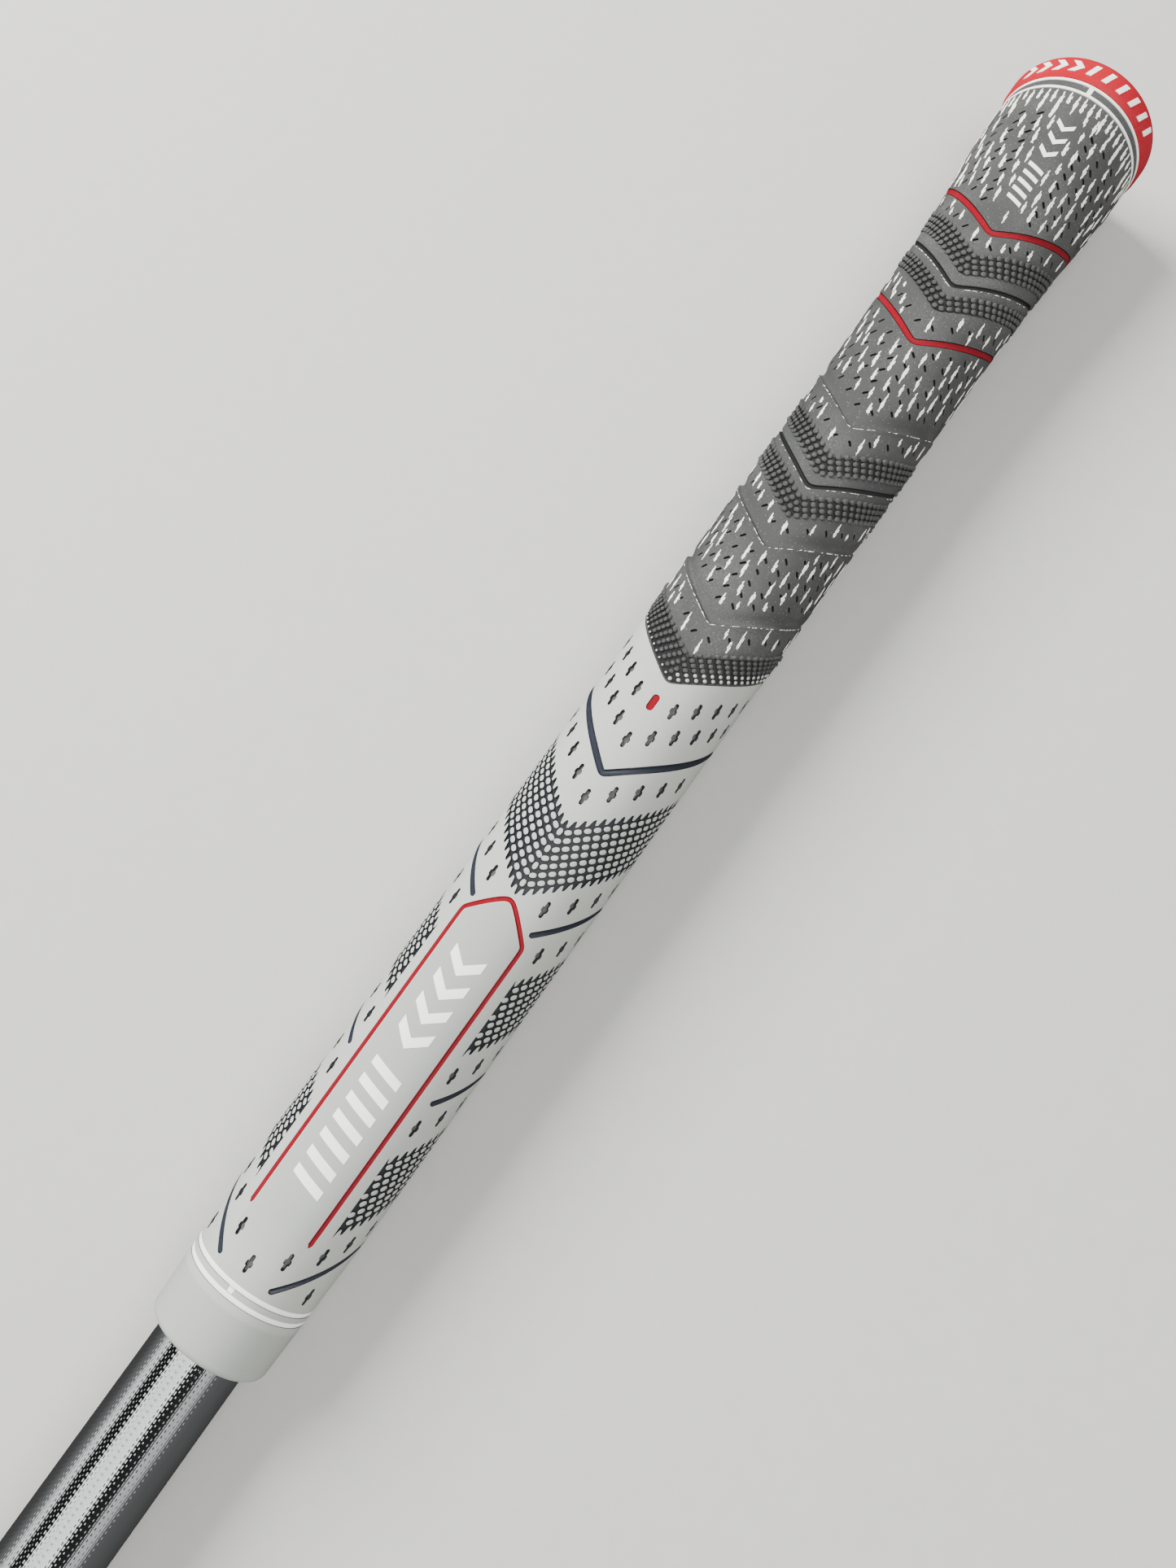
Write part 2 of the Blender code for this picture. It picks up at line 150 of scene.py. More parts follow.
def ribbon(name, pathX, pathAngle, closed, section, finish, roundEnds=0.0):
    x, a = np.array(pathX, float), np.array(pathAngle, float)
    r = skinRadius(x)
    if closed:
        dx = np.roll(x, -1) - np.roll(x, 1)
        da = (np.roll(a, -1) - np.roll(a, 1) + math.pi) % math.tau - math.pi
    else:
        dx, da = np.gradient(x), np.gradient(a)
    ds = da * r
    size = np.hypot(dx, ds)
    nx, ns = -ds / size, dx / size
    width = np.ones_like(x)
    if roundEnds:
        step = np.hypot(np.diff(x), np.diff(a) * r[1:])
        run = np.concatenate([[0], np.cumsum(step)])
        near = np.minimum(run, run[-1] - run)
        width = np.sqrt(np.clip(1 - (1 - np.clip(near / roundEnds, 0, 1))**2, 0.02, 1))
    across = np.array([p[0] for p in section])
    high = np.array([p[1] for p in section])
    px = x[:, None] + nx[:, None] * across * width[:, None]
    pa = a[:, None] + ns[:, None] * across * width[:, None] / r[:, None]
    verts = onGrip(px, pa, skinRadius(px) + high[None, :]).reshape(-1, 3)
    return closedTube(name, verts, len(x), len(section), closed, finish)


def closedTube(name, verts, rows, count, ring=False, finish=None, flip=False):    # ends filled
    faces = gridFaces(rows, count, ring, True)
    faces = (faces[:, ::-1] if flip else faces).tolist()
    if not ring:
        faces += [list(range(count))[::-1], list(range((rows - 1) * count, rows * count))]
    piece = newObject(name, verts, faces, finish)
    outward(piece)
    return piece


def outward(piece):
    bm = bmesh.new()
    bm.from_mesh(piece.data)
    bmesh.ops.recalc_face_normals(bm, faces=bm.faces)
    bm.to_mesh(piece.data)
    bm.free()


def joined(name, pieces):
    verts, faces, start = [], [], 0
    for piece in pieces:
        mesh = piece.data
        verts += [v.co[:] for v in mesh.vertices]
        faces += [[i + start for i in p.vertices] for p in mesh.polygons]
        start = len(verts)
        bpy.data.objects.remove(piece)
    return newObject(name, verts, faces)


def settle(piece):    # make what the modifiers give into the plain mesh
    bpy.context.view_layer.update()
    depsgraph = bpy.context.evaluated_depsgraph_get()
    mesh = bpy.data.meshes.new_from_object(piece.evaluated_get(depsgraph))
    piece.modifiers.clear()
    piece.data = mesh
    return piece


def boolean(target, other, operation="DIFFERENCE", solver="MANIFOLD"):
    cutter = target.modifiers.new("shape", "BOOLEAN")
    cutter.operation = operation
    cutter.solver = solver
    cutter.object = other
    settle(target)
    bpy.data.objects.remove(other)
    return target


def wrapFlat(piece, relief=None, radiusOf=skinRadius):    # (x, arc, height) in mm goes on the grip
    mesh = piece.data
    co = np.empty(len(mesh.vertices) * 3, np.float32)
    mesh.vertices.foreach_get("co", co)
    x, arc, high = co.reshape(-1, 3).astype(float).T
    angle = arc / flatRadius
    if relief:
        high = high + relief(x, angle)
    place = onGrip(x, angle, radiusOf(x) + high)
    mesh.vertices.foreach_set("co", place.astype(np.float32).ravel())
    mesh.update()
    return piece


flatRadius = 12.0    # the flat patterns are drawn as if the grip were this thick


def hexColour(r, g, b):
    return tuple(((c / 255 + 0.055) / 1.055)**2.4 if c > 10 else c / 3294 for c in (r, g, b))


def newGroup(name, inputs, outputs, kind="ShaderNodeTree"):
    tree = bpy.data.node_groups.new(name, kind)
    for way, sockets in (("INPUT", inputs), ("OUTPUT", outputs)):
        for label, socket in sockets.items():
            tree.interface.new_socket(label, in_out=way, socket_type="NodeSocket" + socket)
    return tree, tree.nodes.new("NodeGroupInput").outputs, tree.nodes.new("NodeGroupOutput").inputs


def put(tree, socket, value):    # a plain value is set, and another node's output is linked
    if isinstance(value, tuple):
        value = (*value, 1)
    if isinstance(value, (int, float, str, tuple)):
        socket.default_value = value
    elif value is not None:
        tree.links.new(value, socket)


def addNode(tree, kind, inputs, **settings):
    node = tree.nodes.new(kind)
    for key, value in settings.items():
        setattr(node, key, value)
    for label, value in inputs.items():
        put(tree, node.inputs[label], value)
    return node


def mathNode(tree, operation, a, b=None, c=None, clamp=False):
    return addNode(tree, "ShaderNodeMath", {0: a, 1: b, 2: c},
                   operation=operation, use_clamp=clamp).outputs[0]


def rampOf(tree, a, b, gain):    # (a - b) * gain, held between 0 and 1
    return mathNode(tree, "MULTIPLY", mathNode(tree, "SUBTRACT", a, b), gain, clamp=True)


def placeOf(tree, source="Object"):
    place = tree.nodes.new("ShaderNodeTexCoord").outputs[source]
    return addNode(tree, "ShaderNodeSeparateXYZ", {0: place}).outputs


def mixColour(tree, share, a, b):
    return addNode(tree, "ShaderNodeMix", {0: share, 6: a, 7: b}, data_type="RGBA").outputs[2]


def makeGrain():    # fine grain, broad clouds and sparse specks on the object's own coordinates
    tree, given, out = newGroup("surfaceGrain", {"Grain Scale": "Float", "Cloud Scale": "Float",
                                                 "Stretch": "Float"},
                                {"Fine": "Float", "Cloud": "Float", "Speck": "Float"})
    coordinates = tree.nodes.new("ShaderNodeTexCoord").outputs["Object"]
    x, y, z = addNode(tree, "ShaderNodeSeparateXYZ", {0: coordinates}).outputs
    stretched = mathNode(tree, "MULTIPLY", x, given["Stretch"])
    squeezed = addNode(tree, "ShaderNodeCombineXYZ", {0: stretched, 1: y, 2: z}).outputs[0]
    for label, scale, vector, detail in (("Fine", "Grain Scale", squeezed, 4),
                                         ("Cloud", "Cloud Scale", coordinates, 3)):
        noise = addNode(tree, "ShaderNodeTexNoise", {"Detail": detail, "Vector": vector,
                                                     "Scale": given[scale]})
        put(tree, out[label], noise.outputs[0])
    cellScale = mathNode(tree, "MULTIPLY", given["Grain Scale"], 0.32)
    cells = addNode(tree, "ShaderNodeTexVoronoi", {"Vector": coordinates, "Scale": cellScale})
    put(tree, out["Speck"], rampOf(tree, 0.16, cells.outputs["Distance"], 9.0))
    return tree


def makeDust():    # pale dust and handling marks laid over a colour
    tree, given, out = newGroup("dustFilm", {"Colour": "Color", "Dust": "Color", "Amount": "Float",
                                             "Cloud": "Float", "Fine": "Float"},
                                {"Colour": "Color", "Mask": "Float"})
    cloud = rampOf(tree, given["Cloud"], 0.42, 3.2)
    fine = rampOf(tree, given["Fine"], 0.36, 2.6)
    mask = mathNode(tree, "MULTIPLY", mathNode(tree, "MULTIPLY", cloud, fine), given["Amount"])
    put(tree, out["Colour"], mixColour(tree, mask, given["Colour"], given["Dust"]))
    put(tree, out["Mask"], mask)
    return tree


surfaceGrain, dustFilm = makeGrain(), makeDust()


def newFinish(name, look):
    made = bpy.data.materials.new(name)
    made.use_nodes = True
    tree = made.node_tree
    shader = tree.nodes["Principled BSDF"]
    grain = addNode(tree, "ShaderNodeGroup",
                    {"Grain Scale": look.get("grain", 3800), "Cloud Scale": look.get("cloud", 60),
                     "Stretch": look.get("stretch", 1.0)}, node_tree=surfaceGrain).outputs
    colour = mixColour(tree, grain["Fine"], hexColour(*look["low"]), hexColour(*look["high"]))
    if "speck" in look:
        share = mathNode(tree, "MULTIPLY", grain["Speck"], look["speck share"])
        colour = mixColour(tree, share, colour, hexColour(*look["speck"]))
    if "dust" in look:
        film = addNode(tree, "ShaderNodeGroup",
                       {"Colour": colour, "Dust": hexColour(*look["dust"]), "Cloud": grain["Cloud"],
                        "Amount": look["dust amount"], "Fine": grain["Fine"]}, node_tree=dustFilm)
        colour = film.outputs["Colour"]
    if "extra" in look:
        colour = look["extra"](tree, colour)
    low, high = look["rough"]
    blend = mathNode(tree, "ADD", mathNode(tree, "MULTIPLY", grain["Fine"], 0.4),
                     mathNode(tree, "MULTIPLY", grain["Cloud"], 0.6))
    rough = mathNode(tree, "MULTIPLY_ADD", blend, high - low, low, clamp=True)
    bump = addNode(tree, "ShaderNodeBump", {"Strength": look.get("bump", 0.3), "Height": grain["Fine"],
                                            "Distance": look.get("bump height", 0.03) * mm})
    for label, value in (("Metallic", look.get("metal", 0.0)), ("Base Color", colour),
                         ("Specular IOR Level", look.get("specular", 0.5)), ("Roughness", rough),
                         ("Normal", bump.outputs[0])):
        put(tree, shader.inputs[label], value)
    return made


# painted shade laid over the name panel and the mouth
panelShade = {"nose": 183.4, "shoulder": 188.6, "angle": 30.6, "end": 250.0, "mouth": 257.5,
             "share": 0.4, "colour": (136, 141, 136)}


def shadePanelAndMouth(tree, colour):    # painted shade: the name panel and the mouth, which are smoother, are darkened a little and cooled, for the light falling off toward the mouth
    x, y, z = placeOf(tree)
    angle = mathNode(tree, "ABSOLUTE", mathNode(tree, "ARCTAN2", y, z))
    look = panelShade
    slope = (look["shoulder"] - look["nose"]) * mm / math.radians(look["angle"])
    front = mathNode(tree, "MULTIPLY_ADD", angle, slope, look["nose"] * mm)
    inFront = rampOf(tree, x, front, 3000)
    inside = rampOf(tree, math.radians(look["angle"]), angle, 60)
    beforeEnd = rampOf(tree, look["end"] * mm, x, 120)
    panel = mathNode(tree, "MULTIPLY", mathNode(tree, "MULTIPLY", inFront, inside), beforeEnd)
    mouth = rampOf(tree, x, look["mouth"] * mm, 2500)
    mask = mathNode(tree, "MULTIPLY", mathNode(tree, "MAXIMUM", panel, mouth), look["share"])
    return mixColour(tree, mask, colour, hexColour(*look["colour"]))


looks = {
    "charcoalRubber": {"low": (44, 45, 44), "high": (73, 74, 72), "rough": (0.5, 0.85),
                       "grain": 5200, "cloud": 70, "bump": 0.55, "bump height": 0.05,
                       "dust": (134, 135, 129), "dust amount": 0.35,
                       "speck": (165, 165, 158), "speck share": 0.55},
    # painted shade: near-black charcoal for the floors of hollows, slits and channels and for the sides
    # of the scales
    "charcoalShade": {"low": (13, 13, 14), "high": (32, 32, 33), "rough": (0.6, 0.9),
                       "grain": 5200, "cloud": 70, "bump": 0.5, "bump height": 0.05,
                       "dust": (60, 60, 58), "dust amount": 0.15},
    "greyRubber": {"low": (158, 161, 154), "high": (175, 177, 170), "rough": (0.42, 0.7),
                   "grain": 3200, "cloud": 45, "bump": 0.25, "bump height": 0.025,
                   "dust": (140, 140, 128), "dust amount": 0.35,
                   "speck": (120, 122, 118), "speck share": 0.12, "extra": shadePanelAndMouth},
    "crimsonRubber": {"low": (102, 1, 14), "high": (132, 4, 26), "rough": (0.45, 0.7), "specular": 0.25,
                      "cloud": 120, "bump": 0.4, "bump height": 0.04,
                      "dust": (180, 70, 80), "dust amount": 0.15},
    "redRubber": {"low": (146, 4, 22), "high": (172, 12, 34), "rough": (0.48, 0.7), "specular": 0.3,
                  "cloud": 120,
                  "dust": (196, 84, 92), "dust amount": 0.2},
    "slateRubber": {"low": (22, 25, 33), "high": (40, 44, 54), "rough": (0.3, 0.48),
                    "cloud": 110, "bump": 0.25, "bump height": 0.03,
                    "dust": (90, 94, 100), "dust amount": 0.2, "specular": 0.3},
    # dark slate: the real fill of the hex pockets and the sides of their pips, and painted shade on
    # slot walls and in the gaps beside the inlays
    "slateFillAndShade": {"low": (14, 15, 19), "high": (32, 34, 40), "rough": (0.5, 0.8),
                    "cloud": 110,
                    "dust": (80, 82, 80), "dust amount": 0.2},
    # painted shade: the slot floors are the grey rubber darkened as if in shadow, with darker dust
    # mixed in
    "slotFloorShade": {"low": (62, 65, 62), "high": (88, 90, 86), "rough": (0.5, 0.8),
                  "cloud": 110,
                  "dust": (60, 62, 58), "dust amount": 0.5},
    "whitePaint": {"low": (240, 239, 233), "high": (255, 254, 250), "rough": (0.4, 0.65),
                   "grain": 3500, "cloud": 160,
                   "dust": (196, 192, 180), "dust amount": 0.4},
    "cottonCord": {"low": (228, 224, 208), "high": (255, 253, 245), "rough": (0.8, 1.0),
                   "grain": 7000, "cloud": 260, "stretch": 0.16, "bump": 0.8, "bump height": 0.06,
                   "dust": (196, 190, 174), "dust amount": 0.25, "specular": 0.2},
    "chromedSteel": {"low": (206, 208, 210), "high": (222, 223, 224), "rough": (0.02, 0.06),
                     "metal": 1.0, "grain": 900, "cloud": 90, "stretch": 0.1, "bump": 0.01,
                     "bump height": 0.002},
    "gripTape": {"low": (170, 150, 112), "high": (204, 184, 146), "rough": (0.75, 0.95),
                 "grain": 2400, "cloud": 90, "bump": 0.5, "bump height": 0.05},
}
finishes = {name: newFinish(name, look) for name, look in looks.items()}
(charcoalRubber, charcoalShade, greyRubber, crimsonRubber, redRubber, slateRubber, slateFillAndShade,
 slotFloorShade, whitePaint, cottonCord, steel, tapeFinish) = finishes.values()
floorFinish = newFinish("paleFloor", {"low": (178, 177, 173), "high": (184, 183, 179),
                                      "rough": (0.85, 0.95), "grain": 300, "cloud": 3, "bump": 0.05})
print("materials", len(bpy.data.materials))


studio = {"lens": 26.3, "place": (0.1868, 0.0288, 0.1927),
          "turn": (-125.50, 4.07, -7.02), "roll": -8.5,
          "floor": {"high": -0.0148, "butt": 14.75, "mouth": 10.7, "length": 255, "half size": 1.2},
          "ambient": 0.48, "shine": 1.9,
          "stripes": [(-170, 0.03), (-110, 0.05), (-82, 0.14), (-74, 0.6), (-59, 0.7), (-56, 0.01),
                      (-33, 0.01), (-30, 0.95), (-10, 0.92), (-8, 0.3), (-5, 0.97), (14, 1.0),
                      (17, 0.01), (44, 0.02), (47, 0.42), (67, 0.34), (74, 0.08), (170, 0.03)],
          "lamps": (("skyPanel", (0.0, -0.7, 0.6), 0.5, 27.0),
                    ("topPanel", (0.25, 0.35, 1.0), 0.7, 12.0))}


def setCamera():
    data = bpy.data.cameras.new("camera")
    data.lens = studio["lens"]
    data.sensor_width = 36
    data.clip_start = 0.005
    made = addObject("camera", data)
    first, second, third = (Matrix.Rotation(math.radians(turn), 3, axis)
                            for turn, axis in zip(studio["turn"], "ZYX"))
    view = (third @ second @ first).transposed()
    roll = Matrix.Rotation(math.radians(studio["roll"]), 3, "X")
    made.matrix_world = Matrix.Translation(studio["place"]) @ (roll @ view).to_4x4()
    bpy.context.scene.camera = made


def setStage():
    under = studio["floor"]
    tilt = math.atan2(under["butt"] - under["mouth"], under["length"])
    bm = bmesh.new()
    bmesh.ops.create_grid(bm, x_segments=8, y_segments=8, size=under["half size"])
    mesh = bpy.data.meshes.new("floor")
    bm.to_mesh(mesh)
    bm.free()
    mesh.transform(Matrix.Translation((0.004, 0, under["high"])) @ Matrix.Rotation(-tilt, 4, "Y")
                   @ Matrix.Translation((0.15, 0, 0)))
    mesh.materials.append(floorFinish)
    floor = addObject("floor", mesh)
    floor.visible_glossy = False
    world = bpy.data.worlds.new("studio")
    bpy.context.scene.world = world
    world.use_nodes = True
    tree = world.node_tree
    plain = tree.nodes["Background"]
    put(tree, plain.inputs["Color"], (0.97, 0.98, 1.0))
    put(tree, plain.inputs["Strength"], studio["ambient"])
    x, y, z = placeOf(tree, "Generated")    # striped surroundings, seen in glossy surfaces only
    angle = mathNode(tree, "ARCTAN2", y, z)
    share = mathNode(tree, "MULTIPLY_ADD", angle, 0.5 / math.pi, 0.5)
    ramp = addNode(tree, "ShaderNodeValToRGB", {0: share})
    stripes = ramp.color_ramp
    stripes.interpolation = "LINEAR"
    for stop in stripes.elements:
        stop.color = (0.03, 0.03, 0.03, 1)
    for place, level in studio["stripes"]:
        stop = stripes.elements.new(place / 360 + 0.5)
        stop.color = (level, level, level, 1)
    shine = addNode(tree, "ShaderNodeBackground", {"Color": ramp.outputs[0],
                                                   "Strength": studio["shine"]})
    glossy = tree.nodes.new("ShaderNodeLightPath").outputs["Is Glossy Ray"]
    choose = addNode(tree, "ShaderNodeMixShader", {0: glossy, 1: plain.outputs[0], 2: shine.outputs[0]})
    put(tree, tree.nodes["World Output"].inputs["Surface"], choose.outputs[0])
    for name, place, size, power in studio["lamps"]:
        data = bpy.data.lights.new(name, "AREA")
        data.size = size
        data.energy = power
        lamp = addObject(name, data)
        lamp.location = place
        lamp.visible_glossy = name != "skyPanel"
        aim = Vector((0.15, 0, 0)) - Vector(place)
        lamp.rotation_euler = aim.to_track_quat("-Z", "Y").to_euler()


setCamera()
setStage()
print("camera, floor and lights are set")


def plantTree():    # plants small shapes on points, which carry turn, long, wide and pick
    tree, given, out = newGroup("plantShapes", {
        "Points": "Geometry", "Shapes": "Collection", "Turn Spread": "Float", "Size Spread": "Float",
        "Seed": "Int", "Finish": "Material"}, {"Mesh": "Geometry"}, "GeometryNodeTree")

    def attribute(name):
        return addNode(tree, "GeometryNodeInputNamedAttribute", {"Name": name},
                       data_type="FLOAT").outputs["Attribute"]

    def randomOf(spread, centre, offset):
        low, high = (mathNode(tree, way, centre, given[spread]) for way in ("SUBTRACT", "ADD"))
        seed = mathNode(tree, "ADD", given["Seed"], offset)
        return addNode(tree, "FunctionNodeRandomValue", {2: low, 3: high, "Seed": seed}).outputs[1]

    shapes = addNode(tree, "GeometryNodeCollectionInfo",
                     {"Separate Children": True, "Reset Children": True, "Collection": given["Shapes"]})
    angle = mathNode(tree, "ADD", attribute("turn"), randomOf("Turn Spread", 0.0, 11))
    turn = addNode(tree, "ShaderNodeCombineXYZ", {"Z": angle})
    rotation = addNode(tree, "FunctionNodeEulerToRotation", {0: turn.outputs[0]})
    long, wide = (mathNode(tree, "MULTIPLY", attribute(label), randomOf("Size Spread", 1.0, offset))
                  for label, offset in (("long", 22), ("wide", 33)))
    size = addNode(tree, "ShaderNodeCombineXYZ", {"X": long, "Y": wide, "Z": 1.0})
    plant = addNode(tree, "GeometryNodeInstanceOnPoints",
                    {"Pick Instance": True, "Points": given["Points"], "Instance": shapes.outputs[0],
                     "Instance Index": attribute("pick"), "Rotation": rotation.outputs[0],
                     "Scale": size.outputs[0]})
    realized = addNode(tree, "GeometryNodeRealizeInstances", {0: plant.outputs[0]})
    finish = addNode(tree, "GeometryNodeSetMaterial", {"Geometry": realized.outputs[0],
                                                       "Material": given["Finish"]})
    put(tree, out[0], finish.outputs[0])
    return tree


plantShapes = plantTree()


def plantOn(name, spots, shapes, finish, turnSpread=0.0, sizeSpread=0.0, seed=1):
    spots = np.array(spots, float)    # x, angle, turn, long, wide, pick
    mesh = bpy.data.meshes.new(name)
    flat = np.stack([spots[:, 0], spots[:, 1] * flatRadius, 0 * spots[:, 0]], 1)
    mesh.from_pydata([tuple(v) for v in flat], [], [])
    for column, label in ((2, "turn"), (3, "long"), (4, "wide"), (5, "pick")):
        values = mesh.attributes.new(label, "FLOAT", "POINT")
        values.data.foreach_set("value", spots[:, column].astype(np.float32))
    piece = addObject(name, mesh)
    store = bpy.data.collections.new("shapes")
    for shape in shapes:
        for user in list(shape.users_collection):
            user.objects.unlink(shape)
        store.objects.link(shape)
    modifier = piece.modifiers.new("plant", "NODES")
    modifier.node_group = plantShapes
    values = {"Shapes": store, "Turn Spread": turnSpread, "Size Spread": sizeSpread,
              "Seed": seed, "Finish": finish}
    for item in plantShapes.interface.items_tree:
        if item.in_out == "INPUT" and item.name in values:
            modifier[item.identifier] = values[item.name]
    settle(piece)
    for shape in shapes:
        bpy.data.objects.remove(shape)
    bpy.data.collections.remove(store)
    return piece


def prism(name, outline, levels):    # the outline at each (scale, height), from the base up
    outline = np.array(outline, float)
    n = len(outline)
    verts = np.vstack([np.column_stack([outline * k, np.full(n, h)]) for k, h in levels])
    piece = closedTube(name, verts, len(levels), n, flip=True)
    smoothUp(piece, 50)
    return piece


def oval(count, long, wide, power=2.0):
    t = circle(count)
    c, s = np.cos(t), np.sin(t)
    return np.column_stack([long / 2 * np.sign(c) * np.abs(c)**(2 / power),
                            wide / 2 * np.sign(s) * np.abs(s)**(2 / power)])


def capsule(long, wide, arc=5):
    half = (long - wide) / 2
    t = np.linspace(-math.pi / 2, math.pi / 2, arc)
    right = np.column_stack([half + wide / 2 * np.cos(t), wide / 2 * np.sin(t)])
    return np.vstack([right, -right])


def sideSign(angle):    # +1 where a V leg falls back with growing angle
    return np.sign(np.sin(2 * angle))


def legSlope(angle, drop, radius):
    return (vLead(angle + 0.01, drop) - vLead(angle - 0.01, drop)) / 0.02 / radius


def legRows(places, drop, step, first=0.0, last=90.0, phase=0):    # spots along the V legs
    spots = []
    for m, u in enumerate(places):
        odd = (m + phase) % 2
        for j in range(int(round(360 / step))):
            degrees = (j + 0.5 * odd) * step
            fold = abs((degrees + 90) % 180 - 90)
            if not first - 0.01 <= fold <= last + 0.01:
                continue
            a = math.radians(degrees)
            slope = legSlope(a, drop, grip["row radius"])
            turn = math.atan2(1.0, -slope) if abs(slope) > 0.05 else 0.0
            spots.append((u - vLead(a, drop), a, turn, 1.0, 1.0, 0))
    return spots


upper = {
    "cap seat": 12.7, "cap seat radius": 10.9,
    "ramp": 24.0,            # the V is full from here on
    "valleys": [84.3, 110.5, 127.0], "valley width": 3.2, "valley depth": 0.5,
    "ridge height": 0.2,
    "grooves": [51.9, 97.3], "groove width": 0.95, "groove depth": 0.42,
    "bands": [(44.3, 49.3), (53.7, 57.8), (90.4, 94.7), (99.5, 103.9), (133.6, 139.4)],
    "band depth": 0.22,
    "chevrons": [39.6, 64.7], "chevron width": 0.92,
    "chevron look": (0.13, -0.06, -0.22),    # gap beside it, its rim, its middle
    "slit length": 1.2, "slit width": 0.45, "slit depth": 0.55,
    "slit spacing": 14.4, "slit turn": 47, "plain end": 37.5,
    "slit panels": [(13.0, 36.6, 2.14), (67.4, 80.7, 2.62), (113.1, 123.1, 2.45)],
    "single slits": [42.8, 61.5, 87.6, 106.8, 130.2],
}


def upperRelief():    # (place at the V's point, height) keys
    keys = [(grip["sleeve start"], -0.12), (grip["sleeve start"] + 0.15, 0)]
    for u in upper["valleys"]:
        w, d, h = upper["valley width"], upper["valley depth"], upper["ridge height"]
        keys += [(u - w, 0), (u - w * 0.75, -0.3 * d), (u - w * 0.45, -0.85 * d),
                 (u - w * 0.22, -d), (u - 0.3, -0.8 * d), (u - 0.08, -0.1), (u + 0.08, h),
                 (u + 0.3, h), (u + 0.7, 0.35 * h), (u + 1.5, 0)]
    for u in upper["grooves"]:
        w, d = upper["groove width"] / 2, upper["groove depth"]
        keys += [(u - w - 0.25, 0), (u - w, -0.06), (u - 0.55 * w, -d), (u + 0.3 * w, -d),
                 (u + 0.8 * w, -0.05), (u + w, 0.06), (u + w + 0.3, 0.05), (u + w + 0.8, 0)]
    for u0, u1 in upper["bands"]:
        d = upper["band depth"]
        keys += [(u0 - 0.1, 0), (u0 + 0.3, -d), (u1 - 0.3, -d), (u1 + 0.1 if u1 < 139 else u1, 0)]
    return np.array(sorted(keys)).T


reliefU, reliefH = upperRelief()


def upperU(x, angle):    # the V place that a point of the upper sleeve lies on
    u = np.array(x, float)
    for _ in range(6):
        ramp = np.clip((u - grip["sleeve start"]) / (upper["ramp"] - grip["sleeve start"]), 0, 1)
        u = x + ramp * vLead(angle, grip["upper drop"])
    return u


def upperHeight(x, angle):
    return np.interp(upperU(x, angle), reliefU, reliefH)


def makeUpperSleeve():
    start, end = grip["sleeve start"], grip["joint"]
    plain = np.arange(start, end, 1.2)
    plain = np.array([u for u in plain if np.abs(reliefU - u).min() > 0.35])
    u = np.unique(np.concatenate([plain, reliefU, [start, end]]))
    u = u[(u >= start) & (u <= end)]
    high = np.interp(u, reliefU, reliefH)
    angles = circle()
    ramp = np.clip((u - start) / (upper["ramp"] - start), 0, 1)
    lead = vLead(angles, grip["upper drop"])[:, None]
    outX = u[None, :] - ramp[None, :] * lead
    outR = skinRadius(outX) + high[None, :]
    seat, seatR, bore = upper["cap seat"], upper["cap seat radius"], grip["bore"]
    innerX = np.hstack([outX[:, -1:], 0 * lead + np.array([seat, seat, start])])
    innerR = np.array([bore, bore, seatR, seatR]) + 0 * innerX
    return loftRound("upperSleeve", np.hstack([outX, innerX]), np.hstack([outR, innerR]),
                     angles, charcoalRubber)


def slitSpots():
    spots = []
    for k in range(25):
        a = math.radians((2 * k + 1) * upper["slit spacing"] / 2)
        lead = float(vLead(a, grip["upper drop"]))
        turn = math.radians(upper["slit turn"]) * float(sideSign(a))
        onTop = min(a, math.tau - a) < math.radians(9)
        for n, (first, last, pitch) in enumerate(upper["slit panels"]):
            u = last
            while (u > first) if n else (u - lead > first):
                if not (onTop and u < upper["plain end"]):
                    spots.append((u - lead, a, turn, 1, 1, 0))
                u -= pitch
        for u in upper["single slits"]:
            spots.append((u - lead, a, turn, 1, 1, 0))
    return spots


def vPath(u, drop, first=0, last=math.tau, count=288, soft=grip["point"]):
    closed = last - first >= math.tau - 1e-6
    a = np.linspace(first, last, count, endpoint=not closed)
    return u - vLead(a, drop, soft), a, closed


def boxSection(half, top, bottom):
    return [(-half, top), (half, top), (half, bottom), (-half, bottom)]


inlayDepth = 0.68


def trough(half, rim, dip, bottom):    # an inlay's section, painted like a shallow groove
    return [(-half, rim), (-half * 0.62, dip * 0.75), (-half * 0.2, dip), (half * 0.2, dip),
            (half * 0.62, dip * 0.75), (half, rim), (half, bottom), (-half, bottom)]


def inlay(name, path, half, look, finish, slotName, node, ends=(0.0, 0.0)):    # gives back its cutter
    gap, *dips = look
    cutter = ribbon("cut", *path, boxSection(half + gap, 1, -inlayDepth - 0.02), None, ends[0])
    piece = ribbon(name, *path, trough(half, *dips, -inlayDepth), finish, ends[1])
    smoothUp(piece, 60)
    finishPiece(piece, slotName, node)
    return cutter


def finishPiece(piece, slotName, *nodes):
    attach(piece, "root")
    if nodes:
        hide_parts(*nodes)


paint = {"floor": 0.62, "from": 9, "to": 264}    # only shallow hollows between these places get the darker finishes: painted shade, and the dark slate fill of the hex pockets


def faceCentres(mesh):    # in mm
    co = np.empty(len(mesh.polygons) * 3, np.float32)
    mesh.polygons.foreach_get("center", co)
    return co.reshape(-1, 3).T.astype(float) / mm


